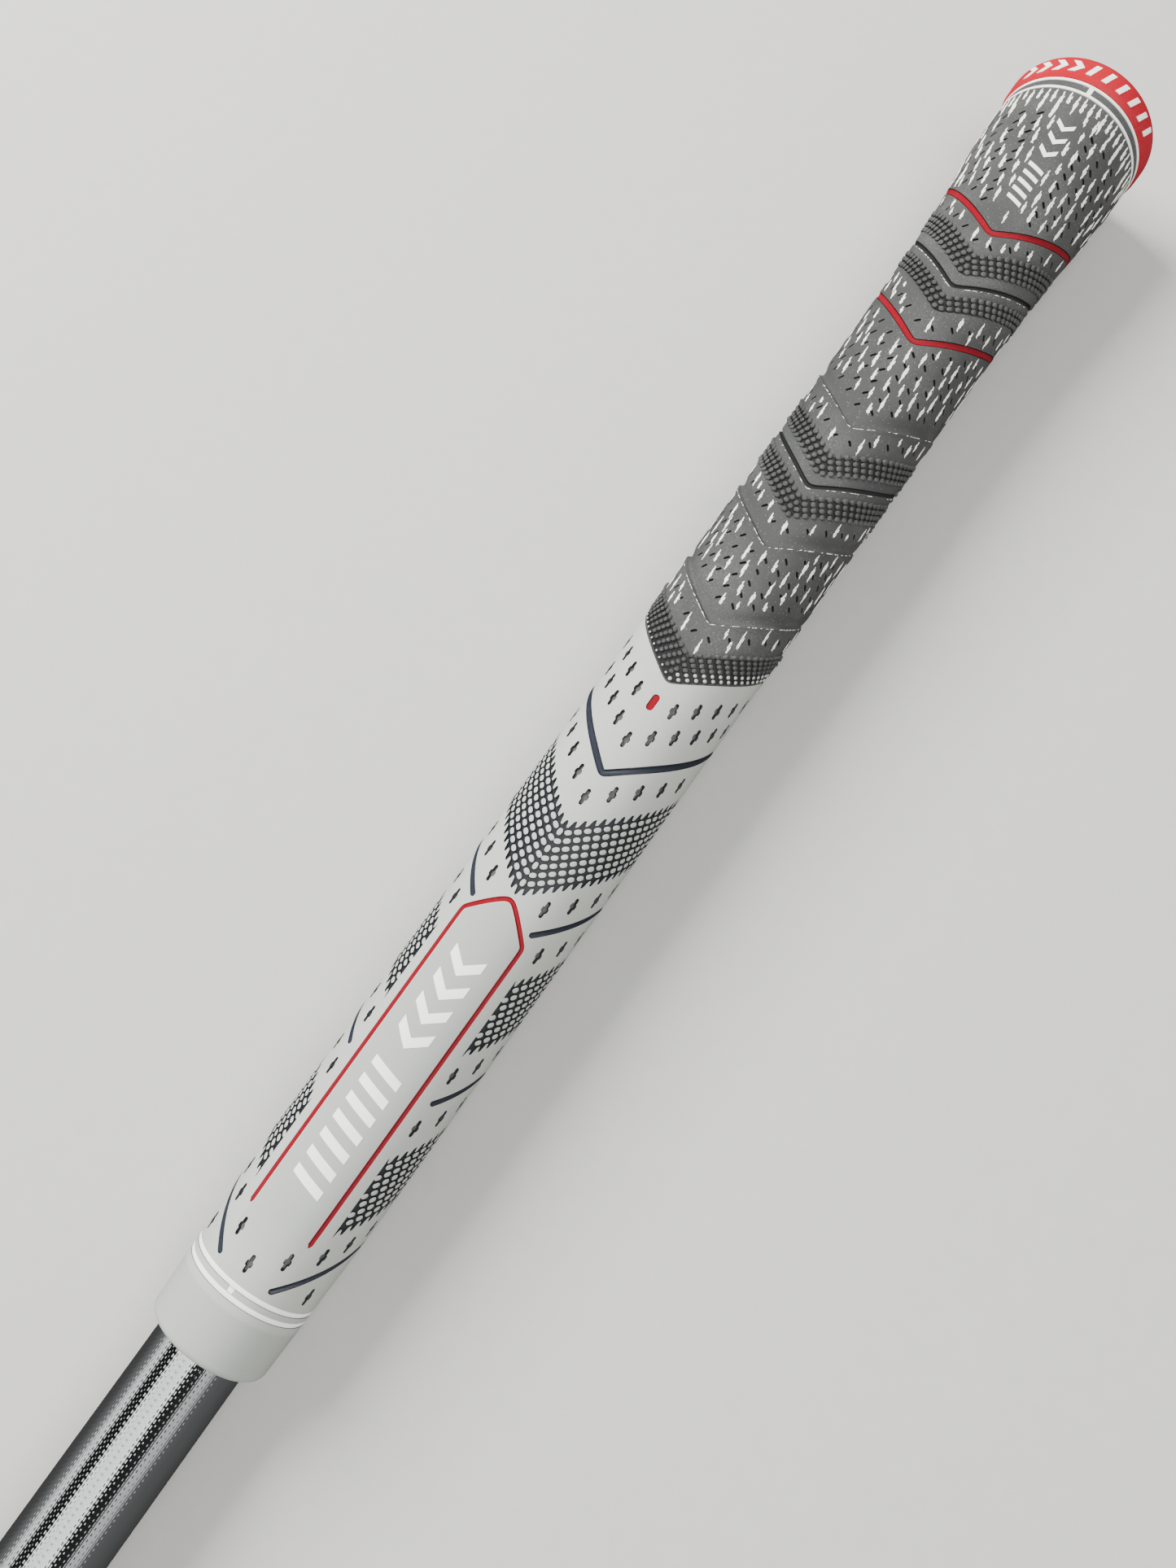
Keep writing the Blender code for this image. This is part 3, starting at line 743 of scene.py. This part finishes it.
def paintAndShadeByDepth(piece, steps):    # (deeper than, finish) for each finish, from the skin down; the darker finishes on deeper faces are painted shade, and in the hex pockets also their real dark slate fill
    mesh = piece.data
    mesh.materials.clear()
    for _, finish in steps:
        mesh.materials.append(finish)
    x, y, z = faceCentres(mesh)
    depth = skinRadius(x) - np.hypot(y, z)
    index = np.zeros(len(x), np.int32)
    shallow = (depth < paint["floor"]) & (x < paint["to"]) & (x > paint["from"])
    for number, (deeper, _) in enumerate(steps):
        index[shallow & (depth > deeper)] = number
    mesh.polygons.foreach_set("material_index", index)


def keepValleys(piece):    # the walls of the valleys stay charcoal
    mesh = piece.data
    x, y, z = faceCentres(mesh)
    place = upperU(x, np.arctan2(y, z))
    index = np.zeros(len(x), np.int32)
    mesh.polygons.foreach_get("material_index", index)
    inValley = np.zeros(len(x), bool)
    for u in upper["valleys"]:
        inValley |= (place > u - upper["valley width"] - 0.2) & (place < u + 1)
    depth = skinRadius(x) - np.hypot(y, z)
    index[inValley & (depth < upper["valley depth"] + 0.01)] = 0
    mesh.polygons.foreach_set("material_index", index)


sleeve = makeUpperSleeve()
cutters = []
for number, u in enumerate(upper["chevrons"], 1):
    cutters.append(inlay(f"redChevron{number}", vPath(u, grip["upper drop"]),
                         upper["chevron width"] / 2, upper["chevron look"], crimsonRubber,
                         "red_rubber", f"red_chevron_{number}"))
slit = prism("slit", capsule(upper["slit length"], upper["slit width"], 4),
             [(1, -upper["slit depth"]), (1, 0.5)])
slits = plantOn("slits", slitSpots(), [slit], None, 0.05, 0.06, 3)
cutters.append(wrapFlat(slits))
boolean(sleeve, joined("cuts", cutters))
# painted shade: faces deeper than 0.12 mm in bands, grooves, slits and the gaps beside the chevrons
# turn near-black; the valley walls are left without it
paintAndShadeByDepth(sleeve, ((-9, charcoalRubber), (0.12, charcoalShade)))
keepValleys(sleeve)
smoothUp(sleeve, 40)
finishPiece(sleeve, "charcoal_rubber", "upper_sleeve")
print("upper sleeve", len(sleeve.data.polygons))


cord = {
    "period": 6.5, "rows": 54, "butt rows": 62, "butt rows end": 37.0,
    "length": (2.2, 3.9), "width": 1.34, "filled": 0.72, "missing": 0.13, "seed": 8, "last": 140,
    "shortest": 0.9, "fringe": (3.0, 4.9), "fringe gap": 7.6,
    "plain angle": 8.6, "plain end": 35.5,    # no strands under the marks by the cap
    "too near": 2.6, "aside": 2.9,            # degrees from a row of slits
    "zones": [(9.2, 38.7), (40.7, 43.6), (58.5, 63.6), (66.0, 80.9), (85.4, 89.9),
              (104.6, 107.6), (111.4, 123.6), (127.9, 133.3)],
}


def strandShape(seed):    # two ragged slivers of fibre side by side, 1 mm long and wide
    draw = random.Random(seed)
    verts, faces = [], []
    for shift, start, end in ((-0.13, -0.5, draw.uniform(0.25, 0.5)),
                              (0.14, draw.uniform(-0.42, -0.1), 0.5)):
        base = len(verts)
        steps = 7
        for i in range(steps + 1):
            t = i / steps
            x = start + (end - start) * t
            swell = math.sin(math.pi * (0.06 + 0.88 * t))**0.45 * draw.uniform(0.7, 1.1)
            y = shift * (1 - 0.3 * t) + draw.uniform(-0.1, 0.1)
            half = 0.28 * swell
            verts += [(x, y - half, -0.18), (x, y - half * 0.55, 0.045 * swell),
                      (x, y + half * 0.5, 0.05 * swell), (x, y + half, -0.18)]
        faces += (gridFaces(steps + 1, 4, False, True) + base).tolist()
        faces.append((base, base + 1, base + 2, base + 3))
        faces.append(tuple(base + steps * 4 + k for k in (3, 2, 1, 0)))
    piece = newObject(f"strand{seed}", verts, faces)
    outward(piece)
    smoothUp(piece, 60)
    return piece


def slitShift(degrees):    # moves a strand off a row of slits
    half = upper["slit spacing"] / 2
    near = (degrees - half) % upper["slit spacing"]
    near = near - upper["slit spacing"] if near > half else near
    if abs(near) >= cord["too near"]:
        return 0.0
    return math.radians(math.copysign(cord["aside"], near or 1) - near)


def strandSpots():
    draw = random.Random(cord["seed"])
    spots = []

    def lay(rows, low, high):
        for k in range(rows):
            a = (k + 0.5) * math.tau / rows + draw.uniform(-0.008, 0.008)
            stagger = cord["period"] * 0.5 * (k % 2)
            x = grip["sleeve start"] + 0.1 - stagger
            if low == 0:    # a fringe of short strands starts at the cap
                reach = cord["fringe"][k % 2] * draw.uniform(0.75, 1.15)
                spots.append((x + stagger + reach / 2, a, 0, reach, 1, k % 4))
                x += cord["fringe gap"]
            while x < cord["last"]:
                centre = x + draw.uniform(-0.5, 0.5)
                half = draw.uniform(*cord["length"]) / 2
                x += cord["period"]
                if draw.random() < cord["missing"]:
                    continue
                u = float(upperU(centre, a))
                if not low <= u < high:
                    continue
                for first, last in cord["zones"]:
                    u0, u1 = max(u - half, first), min(u + half, last)
                    middle = centre + (u0 + u1) / 2 - u
                    onTop = min(a, math.tau - a) < math.radians(cord["plain angle"])
                    if (not first <= u <= last or u1 - u0 < cord["shortest"]
                            or onTop and middle < cord["plain end"]):
                        continue
                    spots.append((middle, a + slitShift(math.degrees(a)), 0, u1 - u0,
                                  draw.uniform(0.85, 1.15), draw.randrange(5)))

    lay(cord["butt rows"], 0, cord["butt rows end"])
    lay(cord["rows"], cord["butt rows end"], cord["last"])
    return [(x, a, t, l, w * cord["width"] * cord["filled"], p) for x, a, t, l, w, p in spots]


wearAndGlint = {"radius": 12.5, "count": 150, "missing": 0.55, "long": (0.3, 1.0), "wide": (0.12, 0.24)}


def wearAndGlintSpots():    # pale crumbs of worn rubber and lint along the ridges and groove lips; along the ridges they also serve as a painted highlight on the ridge edge
    draw = random.Random(cord["seed"] + 1)
    drop = grip["upper drop"]
    spots = []
    for u in [v + 0.2 for v in upper["valleys"]] + [v + 0.62 for v in upper["grooves"]]:
        for k in range(wearAndGlint["count"]):
            a = (k + draw.random()) * math.tau / wearAndGlint["count"]
            if draw.random() < wearAndGlint["missing"]:
                continue
            slope = legSlope(a, drop, wearAndGlint["radius"])
            spots.append((u - float(vLead(a, drop)), a, math.atan2(1.0, -slope),
                          draw.uniform(*wearAndGlint["long"]), draw.uniform(*wearAndGlint["wide"]), draw.randrange(3)))
    return spots


# pale crumbs along the ridges and groove lips: partly real wear and lint, partly a painted highlight on
# the ridge edges
ridgeWear = plantOn("ridgeWear", wearAndGlintSpots(), [strandShape(s) for s in range(3)], cottonCord,
                    0.1, 0.1, 9)
finishPiece(wrapFlat(ridgeWear, upperHeight), "charcoal_rubber")
strands = plantOn("cordStrands", strandSpots(), [strandShape(s) for s in range(5)], cottonCord,
                  0.035, 0.05, cord["seed"])
finishPiece(wrapFlat(strands, upperHeight), "charcoal_rubber")
print("cord strands", len(strands.data.polygons))


scales = {"long": 1.16, "wide": 1.04, "high": 0.48, "step": 6.0, "row": 1.24,
          "fine size": (1.02, 0.9), "fine row": 1.0, "lean": 0.3, "pale size": (0.88, 0.92),
          "pale share": 0.85, "pale far share": 0.55, "pale side": -0.05}


def scaleShape(long, wide):
    high = scales["high"]
    piece = prism("scale", oval(10, long, wide, 2.3),
                  [(1.0, -0.3), (1.0, 0.02), (0.92, high * 0.58), (0.5, high * 0.95)])
    for v in piece.data.vertices:
        if v.co.z > 0.05:
            v.co.x += scales["lean"] * v.co.z    # each scale leans, as if combed toward the mouth
    return piece


coarse, fine, pale = [], [], []
for n, (u0, u1) in enumerate(upper["bands"][:-1]):
    count = int((u1 - u0 - 0.5) / scales["row"]) + 1
    margin = ((u1 - u0) - (count - 1) * scales["row"]) / 2
    coarse += legRows([u0 + margin + i * scales["row"] for i in range(count)],
                      grip["upper drop"], scales["step"], phase=n)
last = upper["bands"][-1]
rows = [last[1] - 0.8 - scales["fine row"] * i for i in range(6)]
fine += legRows(rows[2:], grip["upper drop"], scales["step"])
share = scales["pale share"]
for x, a, turn, *_ in legRows(rows[:1], grip["upper drop"], scales["step"]):
    size = share if math.sin(a) > scales["pale side"] else scales["pale far share"]
    pale.append((x, a, turn, size, size, 0))
for spot in legRows(rows[1:2], grip["upper drop"], scales["step"], phase=1):
    if math.sin(spot[1]) > scales["pale side"]:
        pale.append((*spot[:3], share, share, 0))
    else:
        fine.append(spot)


def plantScales(name, spots, size, finish, slotName, *spreads):
    piece = plantOn(name, spots, [scaleShape(*size)], finish, *spreads)
    wrapFlat(piece, upperHeight)
    # painted shade: the sides of each scale below the skin turn near-black
    paintAndShadeByDepth(piece, ((-9, finish), (0.0, charcoalShade)))
    finishPiece(piece, slotName)
    return piece


bandScales = plantScales("bandScales", coarse, (scales["long"], scales["wide"]), charcoalRubber,
                         "charcoal_rubber", 0.12, 0.08, 5)
plantScales("jointScales", fine, scales["fine size"], charcoalRubber, "charcoal_rubber", 0.1, 0.06, 6)
plantScales("paleScales", pale, np.multiply(scales["fine size"], scales["pale size"]), greyRubber,
            "grey_rubber", 0.08, 0.06, 7)
print("band scales", len(bandScales.data.polygons))


lower = {
    "lip": 1.1, "fade": 60.0,
    "slate chevron": 157.9, "slate width": 0.98, "slate point": 0.9985,
    "slate look": (0.11, -0.04, -0.26), "line look": (0.07, -0.03, -0.24),    # gap, rim, middle
    "panel look": (0.02, -0.01, -0.26), "mark look": (0.09, -0.08, -0.26),
    "lines": [(186.1, 28.5), (216.3, 44.5), (252.3, 25.5)], "line width": 0.85,
    "hex first": 168.05, "hex row": 1.68, "hex rows": 9, "hex step": 6.0,
    "patches": [200.75, 234.05], "patch angle": 42.5,
    "hex depth": 0.36, "pocket top": 0.6, "notch": 0.6,
    "pip long": 1.34, "pip wide": 0.91,
    "slot long": 3.1, "slot wide": 0.7, "slot bulge": 1.26, "slot depth": 0.5,
    "slots": [(142.9, 17.7, 5, -2.5, 16.5), (151.2, 0, 6, -2.5, 15.8), (162.8, 0, 5, -2.9, 17.0),
              (181.3, 26.7, 4, -3.15, 19.2), (187.8, 46.5, 3, -3.1, 18.5),
              (210.8, 46.5, 3, -3.2, 18.5), (220.6, 46.5, 3, -3.1, 18.5),
              (244.1, 47.0, 3, -3.1, 17.0), (250.4, 0, 1, 0, 0), (247.1, 24.0, 1, 0, 0),
              (250.7, 61.0, 1, 0, 0)],
    "mark": 143.6, "mark long": 3.05, "mark wide": 1.12,
    "nose": 183.2, "shoulder": 188.4, "panel end": 243.8, "panel angle": 30.75,
    "nose soft": 5.0,
    "panel line": 0.78,
    "trim": [254.15, 255.95], "trim width": 0.8, "tick": 1.0,
}


def makeLowerSleeve():
    start, end = grip["joint"] + 0.06, grip["mouth"]
    lip = lower["lip"]
    flatEnd = end - lip
    u = np.concatenate([np.arange(start, flatEnd, 1.5), [flatEnd]])
    angles = circle()
    fade = np.clip(1 - (u - start) / lower["fade"], 0, 1)    # the rings straighten out of the V joint
    lead = vLead(angles, grip["upper drop"])[:, None]
    outX = u[None, :] - fade[None, :] * lead
    bend = np.radians([20, 40, 60, 75, 90])
    rimX = np.append(flatEnd + lip * np.sin(bend), [end, end - 0.4])
    rimR = np.append(float(skinRadius(flatEnd)) - lip + lip * np.cos(bend),
                     [grip["bore"] + 0.4, grip["bore"]])
    sectionX = np.hstack([outX, rimX[None, :] + 0 * lead, outX[:, :1]])
    sectionR = np.hstack([skinRadius(outX), rimR[None, :] + 0 * lead, grip["bore"] + 0 * lead])
    return loftRound("lowerSleeve", sectionX, sectionR, angles, greyRubber)


def hexPocket(first, start, end, whole):    # a pocket whose V edges are notched between the edge pips
    a = np.radians(np.linspace(start, end, int((end - start) * 1.6) + 1, endpoint=not whole))
    wave = np.clip(1.7 * np.cos(a * 360 / lower["hex step"]), -1, 1) * lower["notch"]
    lead = vLead(a, grip["lower drop"])
    last = first + lower["hex row"] * (lower["hex rows"] - 1)
    x0, x1 = first + 0.05 - wave - lead, last - 0.05 + wave - lead
    share = np.linspace(0, 1, 8)
    floorX = x0[:, None] + (x1 - x0)[:, None] * share[None, :]
    x = np.hstack([floorX, floorX[:, ::-1]])
    high = np.repeat([lower["pocket top"], -lower["hex depth"]], floorX.shape[1])
    verts = onGrip(x, a[:, None] + 0 * x, skinRadius(x) + high).reshape(-1, 3)
    return closedTube("pocket", verts, len(a), x.shape[1], whole)


def slotOutline():
    half = (lower["slot long"] - lower["slot wide"]) / 2
    w, b = lower["slot wide"] / 2, lower["slot bulge"] / 2
    t = np.radians([-90, -45, 0, 45, 90])
    end = np.column_stack([half + w * np.cos(t), w * np.sin(t)])
    top = [(0.52, w), (0.36, b * 0.93), (0.14, b), (-0.14, b), (-0.36, b * 0.93), (-0.52, w)]
    upperHalf = np.vstack([end, top])
    return np.vstack([upperHalf, -upperHalf])


def slotSpots():    # every slot and its mirror twins, each place once
    spots = {}
    for x, angle, count, stepX, stepAngle in lower["slots"]:
        for i in range(count):
            place, degrees = x + i * stepX, angle + i * stepAngle
            for around in (degrees, -degrees, 180 - degrees, degrees - 180):
                key = round(place, 1), round(around % 360, 1)
                spots[key] = (place, math.radians(around), 0, 1, 1, 0)
    return [spots[key] for key in sorted(spots)]


def panelPath():
    angle = lower["panel angle"]
    side = np.arange(lower["panel end"], lower["shoulder"], -0.6)
    across = np.linspace(angle, 0, 40)
    soft = lower["nose soft"]
    bend = (np.sqrt(across**2 + soft**2) - soft) / (math.hypot(angle, soft) - soft)
    noseX = lower["nose"] + (lower["shoulder"] - lower["nose"]) * bend
    x = np.concatenate([side, noseX])
    a = np.concatenate([np.full(len(side), angle), across])
    x, a = np.concatenate([x, x[-2::-1]]), np.concatenate([a, -a[-2::-1]])
    weights = np.array([1, 2, 3, 2, 1]) / 9.0
    for _ in range(2):
        x[2:-2] = np.convolve(x, weights, "valid")
        a[2:-2] = np.convolve(a, weights, "valid")
    return x, np.radians(a), False


lowerSleeve = makeLowerSleeve()
cutters = []
slatePath = vPath(lower["slate chevron"], grip["lower drop"], count=360, soft=lower["slate point"])
cutters.append(inlay("slateChevron", slatePath, lower["slate width"] / 2, lower["slate look"],
                     slateRubber, "slate_rubber", "slate_chevron"))
half = lower["line width"] / 2
for side, turn in (("left", 0), ("right", math.pi)):
    for number, (front, degrees) in enumerate(lower["lines"], 1):
        first = math.radians(degrees)
        u = front + float(vLead(first, grip["lower drop"]))
        x, a, closed = vPath(u, grip["lower drop"], first, math.pi - first, 160)
        cutters.append(inlay(f"slateLine{number}_{side}", (x, a - turn, closed), half,
                             lower["line look"], slateRubber, "slate_rubber",
                             f"slate_line_{number}_{side}", (half + lower["line look"][0], half)))
half = lower["panel line"] / 2
cutters.append(inlay("panelOutline", panelPath(), half, lower["panel look"], crimsonRubber,
                     "red_rubber", "panel_outline", (half, half)))
half = lower["mark wide"] / 2
x = np.linspace(lower["mark"] - lower["mark long"] / 2, lower["mark"] + lower["mark long"] / 2, 33)
cutters.append(inlay("guideMark", (x, 0 * x, False), half, lower["mark look"], crimsonRubber,
                     "red_rubber", "guide_mark", (half + lower["mark look"][0], half)))


trimDepth = 0.6
ringAngles = circle(240)


def trimRing(name, place, section, finish=None):
    return ribbon(name, place + 0 * ringAngles, ringAngles, True, section, finish)


def makeTrim(name, slotName, node, places, width, tick, rim=-0.02):    # two painted rings and a tick
    half = width / 2
    section = [(-half, rim - 0.08), (-half * 0.7, rim), (half * 0.7, rim), (half, rim - 0.08),
               (half, -trimDepth), (-half, -trimDepth)]
    piece, second = (trimRing(name, place, section, whitePaint) for place in places)
    boolean(piece, second, "UNION")
    x = np.linspace(places[0] + 0.1, places[1] - 0.1, 6)
    bar = ribbon("tick", x, 0 * x, False, boxSection(tick / 2, rim - 0.03, -0.5), whitePaint)
    boolean(piece, bar, "UNION")
    piece.name = name
    smoothUp(piece, 40)
    finishPiece(piece, slotName, node)


makeTrim("mouthTrim", "white_trim", "mouth_trim", lower["trim"], lower["trim width"], lower["tick"])
trimCut = boxSection(lower["trim width"] / 2 + 0.04, 1, -trimDepth - 0.02)
cutters += [trimRing("cut", place, trimCut) for place in lower["trim"]]
x = np.linspace(lower["trim"][0] + 0.5, lower["trim"][1] - 0.5, 4)
tickCut = ribbon("cut", x, 0 * x, False, boxSection(lower["tick"] / 2 + 0.03, 1, -0.55), None)

pockets = [hexPocket(lower["hex first"], 0, 360, True)]
for place in lower["patches"]:
    for low in (lower["patch angle"], -180 + lower["patch angle"]):
        pockets.append(hexPocket(place, low, low + 180 - 2 * lower["patch angle"], False))
slot = prism("slot", slotOutline(), [(0.78, -lower["slot depth"]), (1, 0.0), (1.0, 0.5)])
slots = wrapFlat(plantOn("slots", slotSpots(), [slot], None))
boolean(lowerSleeve, joined("cuts", cutters))
boolean(lowerSleeve, tickCut)
boolean(lowerSleeve, joined("pocketCut", pockets + [slots]))
# darker finishes by depth: the real dark slate fill of the hex pockets, and painted shade on slot
# walls, inlay gaps and slot floors
paintAndShadeByDepth(lowerSleeve, ((-9, greyRubber), (0.06, slateFillAndShade), (0.45, slotFloorShade)))
smoothUp(lowerSleeve, 35)
finishPiece(lowerSleeve, "grey_rubber", "lower_sleeve")
print("lower sleeve", len(lowerSleeve.data.polygons))

def pipRows(first, *reach):    # the rows between the edges of a pocket
    places = [first + lower["hex row"] * m for m in range(1, lower["hex rows"] - 1)]
    return legRows(places, grip["lower drop"], lower["hex step"], *reach)


pips = pipRows(lower["hex first"])
for place in lower["patches"]:
    pips += pipRows(place, lower["patch angle"] + 1.6, 90)
pipShape = prism("pip", oval(12, lower["pip long"], lower["pip wide"], 2.4),
                 [(1.04, -lower["hex depth"] - 0.1), (1.0, -0.08), (0.94, -0.02), (0.7, 0.015)])
hexPips = wrapFlat(plantOn("hexPips", pips, [pipShape], greyRubber, 0.05, 0.04, 4))
paintAndShadeByDepth(hexPips, ((-9, greyRubber), (0.045, slateFillAndShade)))
finishPiece(hexPips, "grey_rubber", "hex_band", "hex_patch_a_left", "hex_patch_a_right",
            "hex_patch_b_left", "hex_patch_b_right")
print("hex pips", len(hexPips.data.polygons))


def strokeShape(name, path, stroke, lift=0.05):    # a flat stroke along (x, y) corners, wide along x
    corners = np.array(path, float)
    count = 9
    line = np.vstack([np.linspace(p, q, count)[(1 if k else 0):]
                      for k, (p, q) in enumerate(zip(corners, corners[1:]))])
    half = stroke / 2
    verts = np.stack([np.column_stack([line[:, 0] + dx, line[:, 1], np.full(len(line), h)])
                      for dx, h in ((-half, lift), (-half / 3, lift), (half / 3, lift), (half, lift),
                                    (half, -0.2), (-half, -0.2))], 1).reshape(-1, 3)
    return closedTube(name, verts, len(line), 6)


def markShapes(tall, deep, lean, stroke):
    h = tall / 2
    return [strokeShape("a_chevron", [(-deep / 2, -h), (deep / 2, 0), (-deep / 2, h)], stroke * 1.25),
            strokeShape("b_slant", [(-lean, -h), (lean, h)], stroke)]


motifs = {    # plain chevrons and slanting strokes in place of lettering
    "panelMarks": {"start": 195.6, "pitch": 4.55, "chevrons": 4, "gap": 2.2, "slant pitch": 3.3,
                   "slants": 7, "stroke": (6.2, 2.4, 0.7, 1.55)},
    "buttMarks": {"start": 15.8, "pitch": 2.9, "chevrons": 3, "gap": 0.6, "slant pitch": 1.75,
                  "slants": 5, "stroke": (2.9, 1.3, 0.45, 0.75)},
}
for name, motif in motifs.items():
    places = [motif["start"] + motif["pitch"] * k for k in range(motif["chevrons"])]
    spots = [(place, 0, 0, 1, 1, 0) for place in places]
    first = motif["start"] + motif["pitch"] * motif["chevrons"] + motif["gap"]
    spots += [(first + motif["slant pitch"] * k, 0, 0, 1, 1, 1) for k in range(motif["slants"])]
    marks = plantOn(name, spots, markShapes(*motif["stroke"]), whitePaint)
    finishPiece(wrapFlat(marks), "white_trim")


cap = {"radius": 14.745, "corner": 2.4, "shell end": 5.8, "seat": 14.345,
       "trim": [6.17, 8.12], "trim width": 0.56, "tick": 0.9,
       "marks": 10, "mark step": 12.0, "mark place": 3.5, "mark stroke": (2.4, 1.1, 0.4, 0.85)}


def capRadius(x):
    c = cap["corner"]
    return cap["radius"] - c + np.sqrt(np.clip(c**2 - np.clip(c - x, 0, c)**2, 0, None))


def makeCap():
    r, c = cap["radius"], cap["corner"]
    bend = np.radians(np.arange(0, 91, 6))
    profile = [(0.0, 9.445)] + [(c * (1 - math.cos(t)), r - c + c * math.sin(t)) for t in bend]
    end, seat, lip, floor = cap["shell end"], cap["seat"], 2.4, 9.445
    profile += [(4.6, r - 0.05), (5.5, seat + 0.08), (end, seat - 0.1), (end, 12.545),
                (lip, 12.545), (lip, floor)]
    finishPiece(turned("capShell", profile, redRubber), "red_rubber", "cap_shell")
    core = [(0.5, 0.9), (0.0, 1.4), (0.0, 3.4), (0.3, 3.6), (0.3, 4.4), (0.0, 4.6), (0.0, 7.2),
            (0.3, 7.4), (0.3, 8.2), (0.0, 8.4), (0.0, 9.25), (0.1, 9.345), (2.5, 9.345),
            (2.5, 12.445), (5.9, 12.445), (5.9, 13.6), (6.48, 13.6), (6.5, 14.1), (6.6, 14.18),
            (7.7, 14.18), (7.8, 14.1), (7.82, 13.6), (8.5, 13.6), (8.5, 10.77), (12.6, 10.77),
            (12.6, 7.975), (6.5, 7.975), (6.5, 0.9)]
    finishPiece(turned("capCore", core, charcoalRubber), "charcoal_rubber", "cap_core")
    makeTrim("capTrim", "white_trim", "cap_trim", cap["trim"], cap["trim width"], cap["tick"])
    count, step = cap["marks"], cap["mark step"]
    spots = [(cap["mark place"], math.radians(step * (k - (count - 1) / 2)), math.pi / 2, 1, 1,
              1 if k > 3 else 0) for k in range(count)]
    marks = plantOn("capMarks", spots, markShapes(*cap["mark stroke"]), whitePaint)
    finishPiece(wrapFlat(marks, None, capRadius), "white_trim")


makeCap()


shaft = {"outer": 7.875, "inner": 7.325, "rings": (0, 60, 120, 180),
         "net start": 6, "pitch": 0.97, "rows": 110, "dimple": 0.019}


def makeShaft():
    start, end = startOf("shaft_tube"), endOf("shaft_tube")
    a = circle(shaft["rows"] * 3)
    net = round((grip["mouth"] - shaft["net start"]) / shaft["pitch"])
    first = shaft["pitch"] * (net + 0.125)    # two rings fall in each dimple
    x = np.append([start + place for place in shaft["rings"]],
                  np.arange(first, end - 0.6, shaft["pitch"] / 4))
    wave = np.cos(math.tau * x[None, :] / shaft["pitch"]) * np.cos(a[:, None] * shaft["rows"] / 2)
    dip = shaft["dimple"] * np.clip((wave - 0.45) * 4, 0, 1)
    dip[:, :len(shaft["rings"])] = 0
    outX = x[None, :] + 0 * wave
    outR = shaft["outer"] - 0.008 - dip
    capX = np.array([end - 0.25, end - 0.05, end, end, end - 0.1, start])
    capR = np.array([shaft["outer"], shaft["outer"] - 0.05, shaft["outer"] - 0.15,
                     shaft["inner"] + 0.1, shaft["inner"], shaft["inner"]])
    sectionX = np.hstack([outX, capX + 0 * a[:, None]])
    sectionR = np.hstack([outR, capR + 0 * a[:, None]])
    tube = loftRound("shaftTube", sectionX, sectionR, a, steel)
    smoothUp(tube, 5)
    finishPiece(tube, "chromed_steel", "shaft_tube")


makeShaft()
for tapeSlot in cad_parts["grip_tape"].material_slots:
    tapeSlot.material = tapeFinish
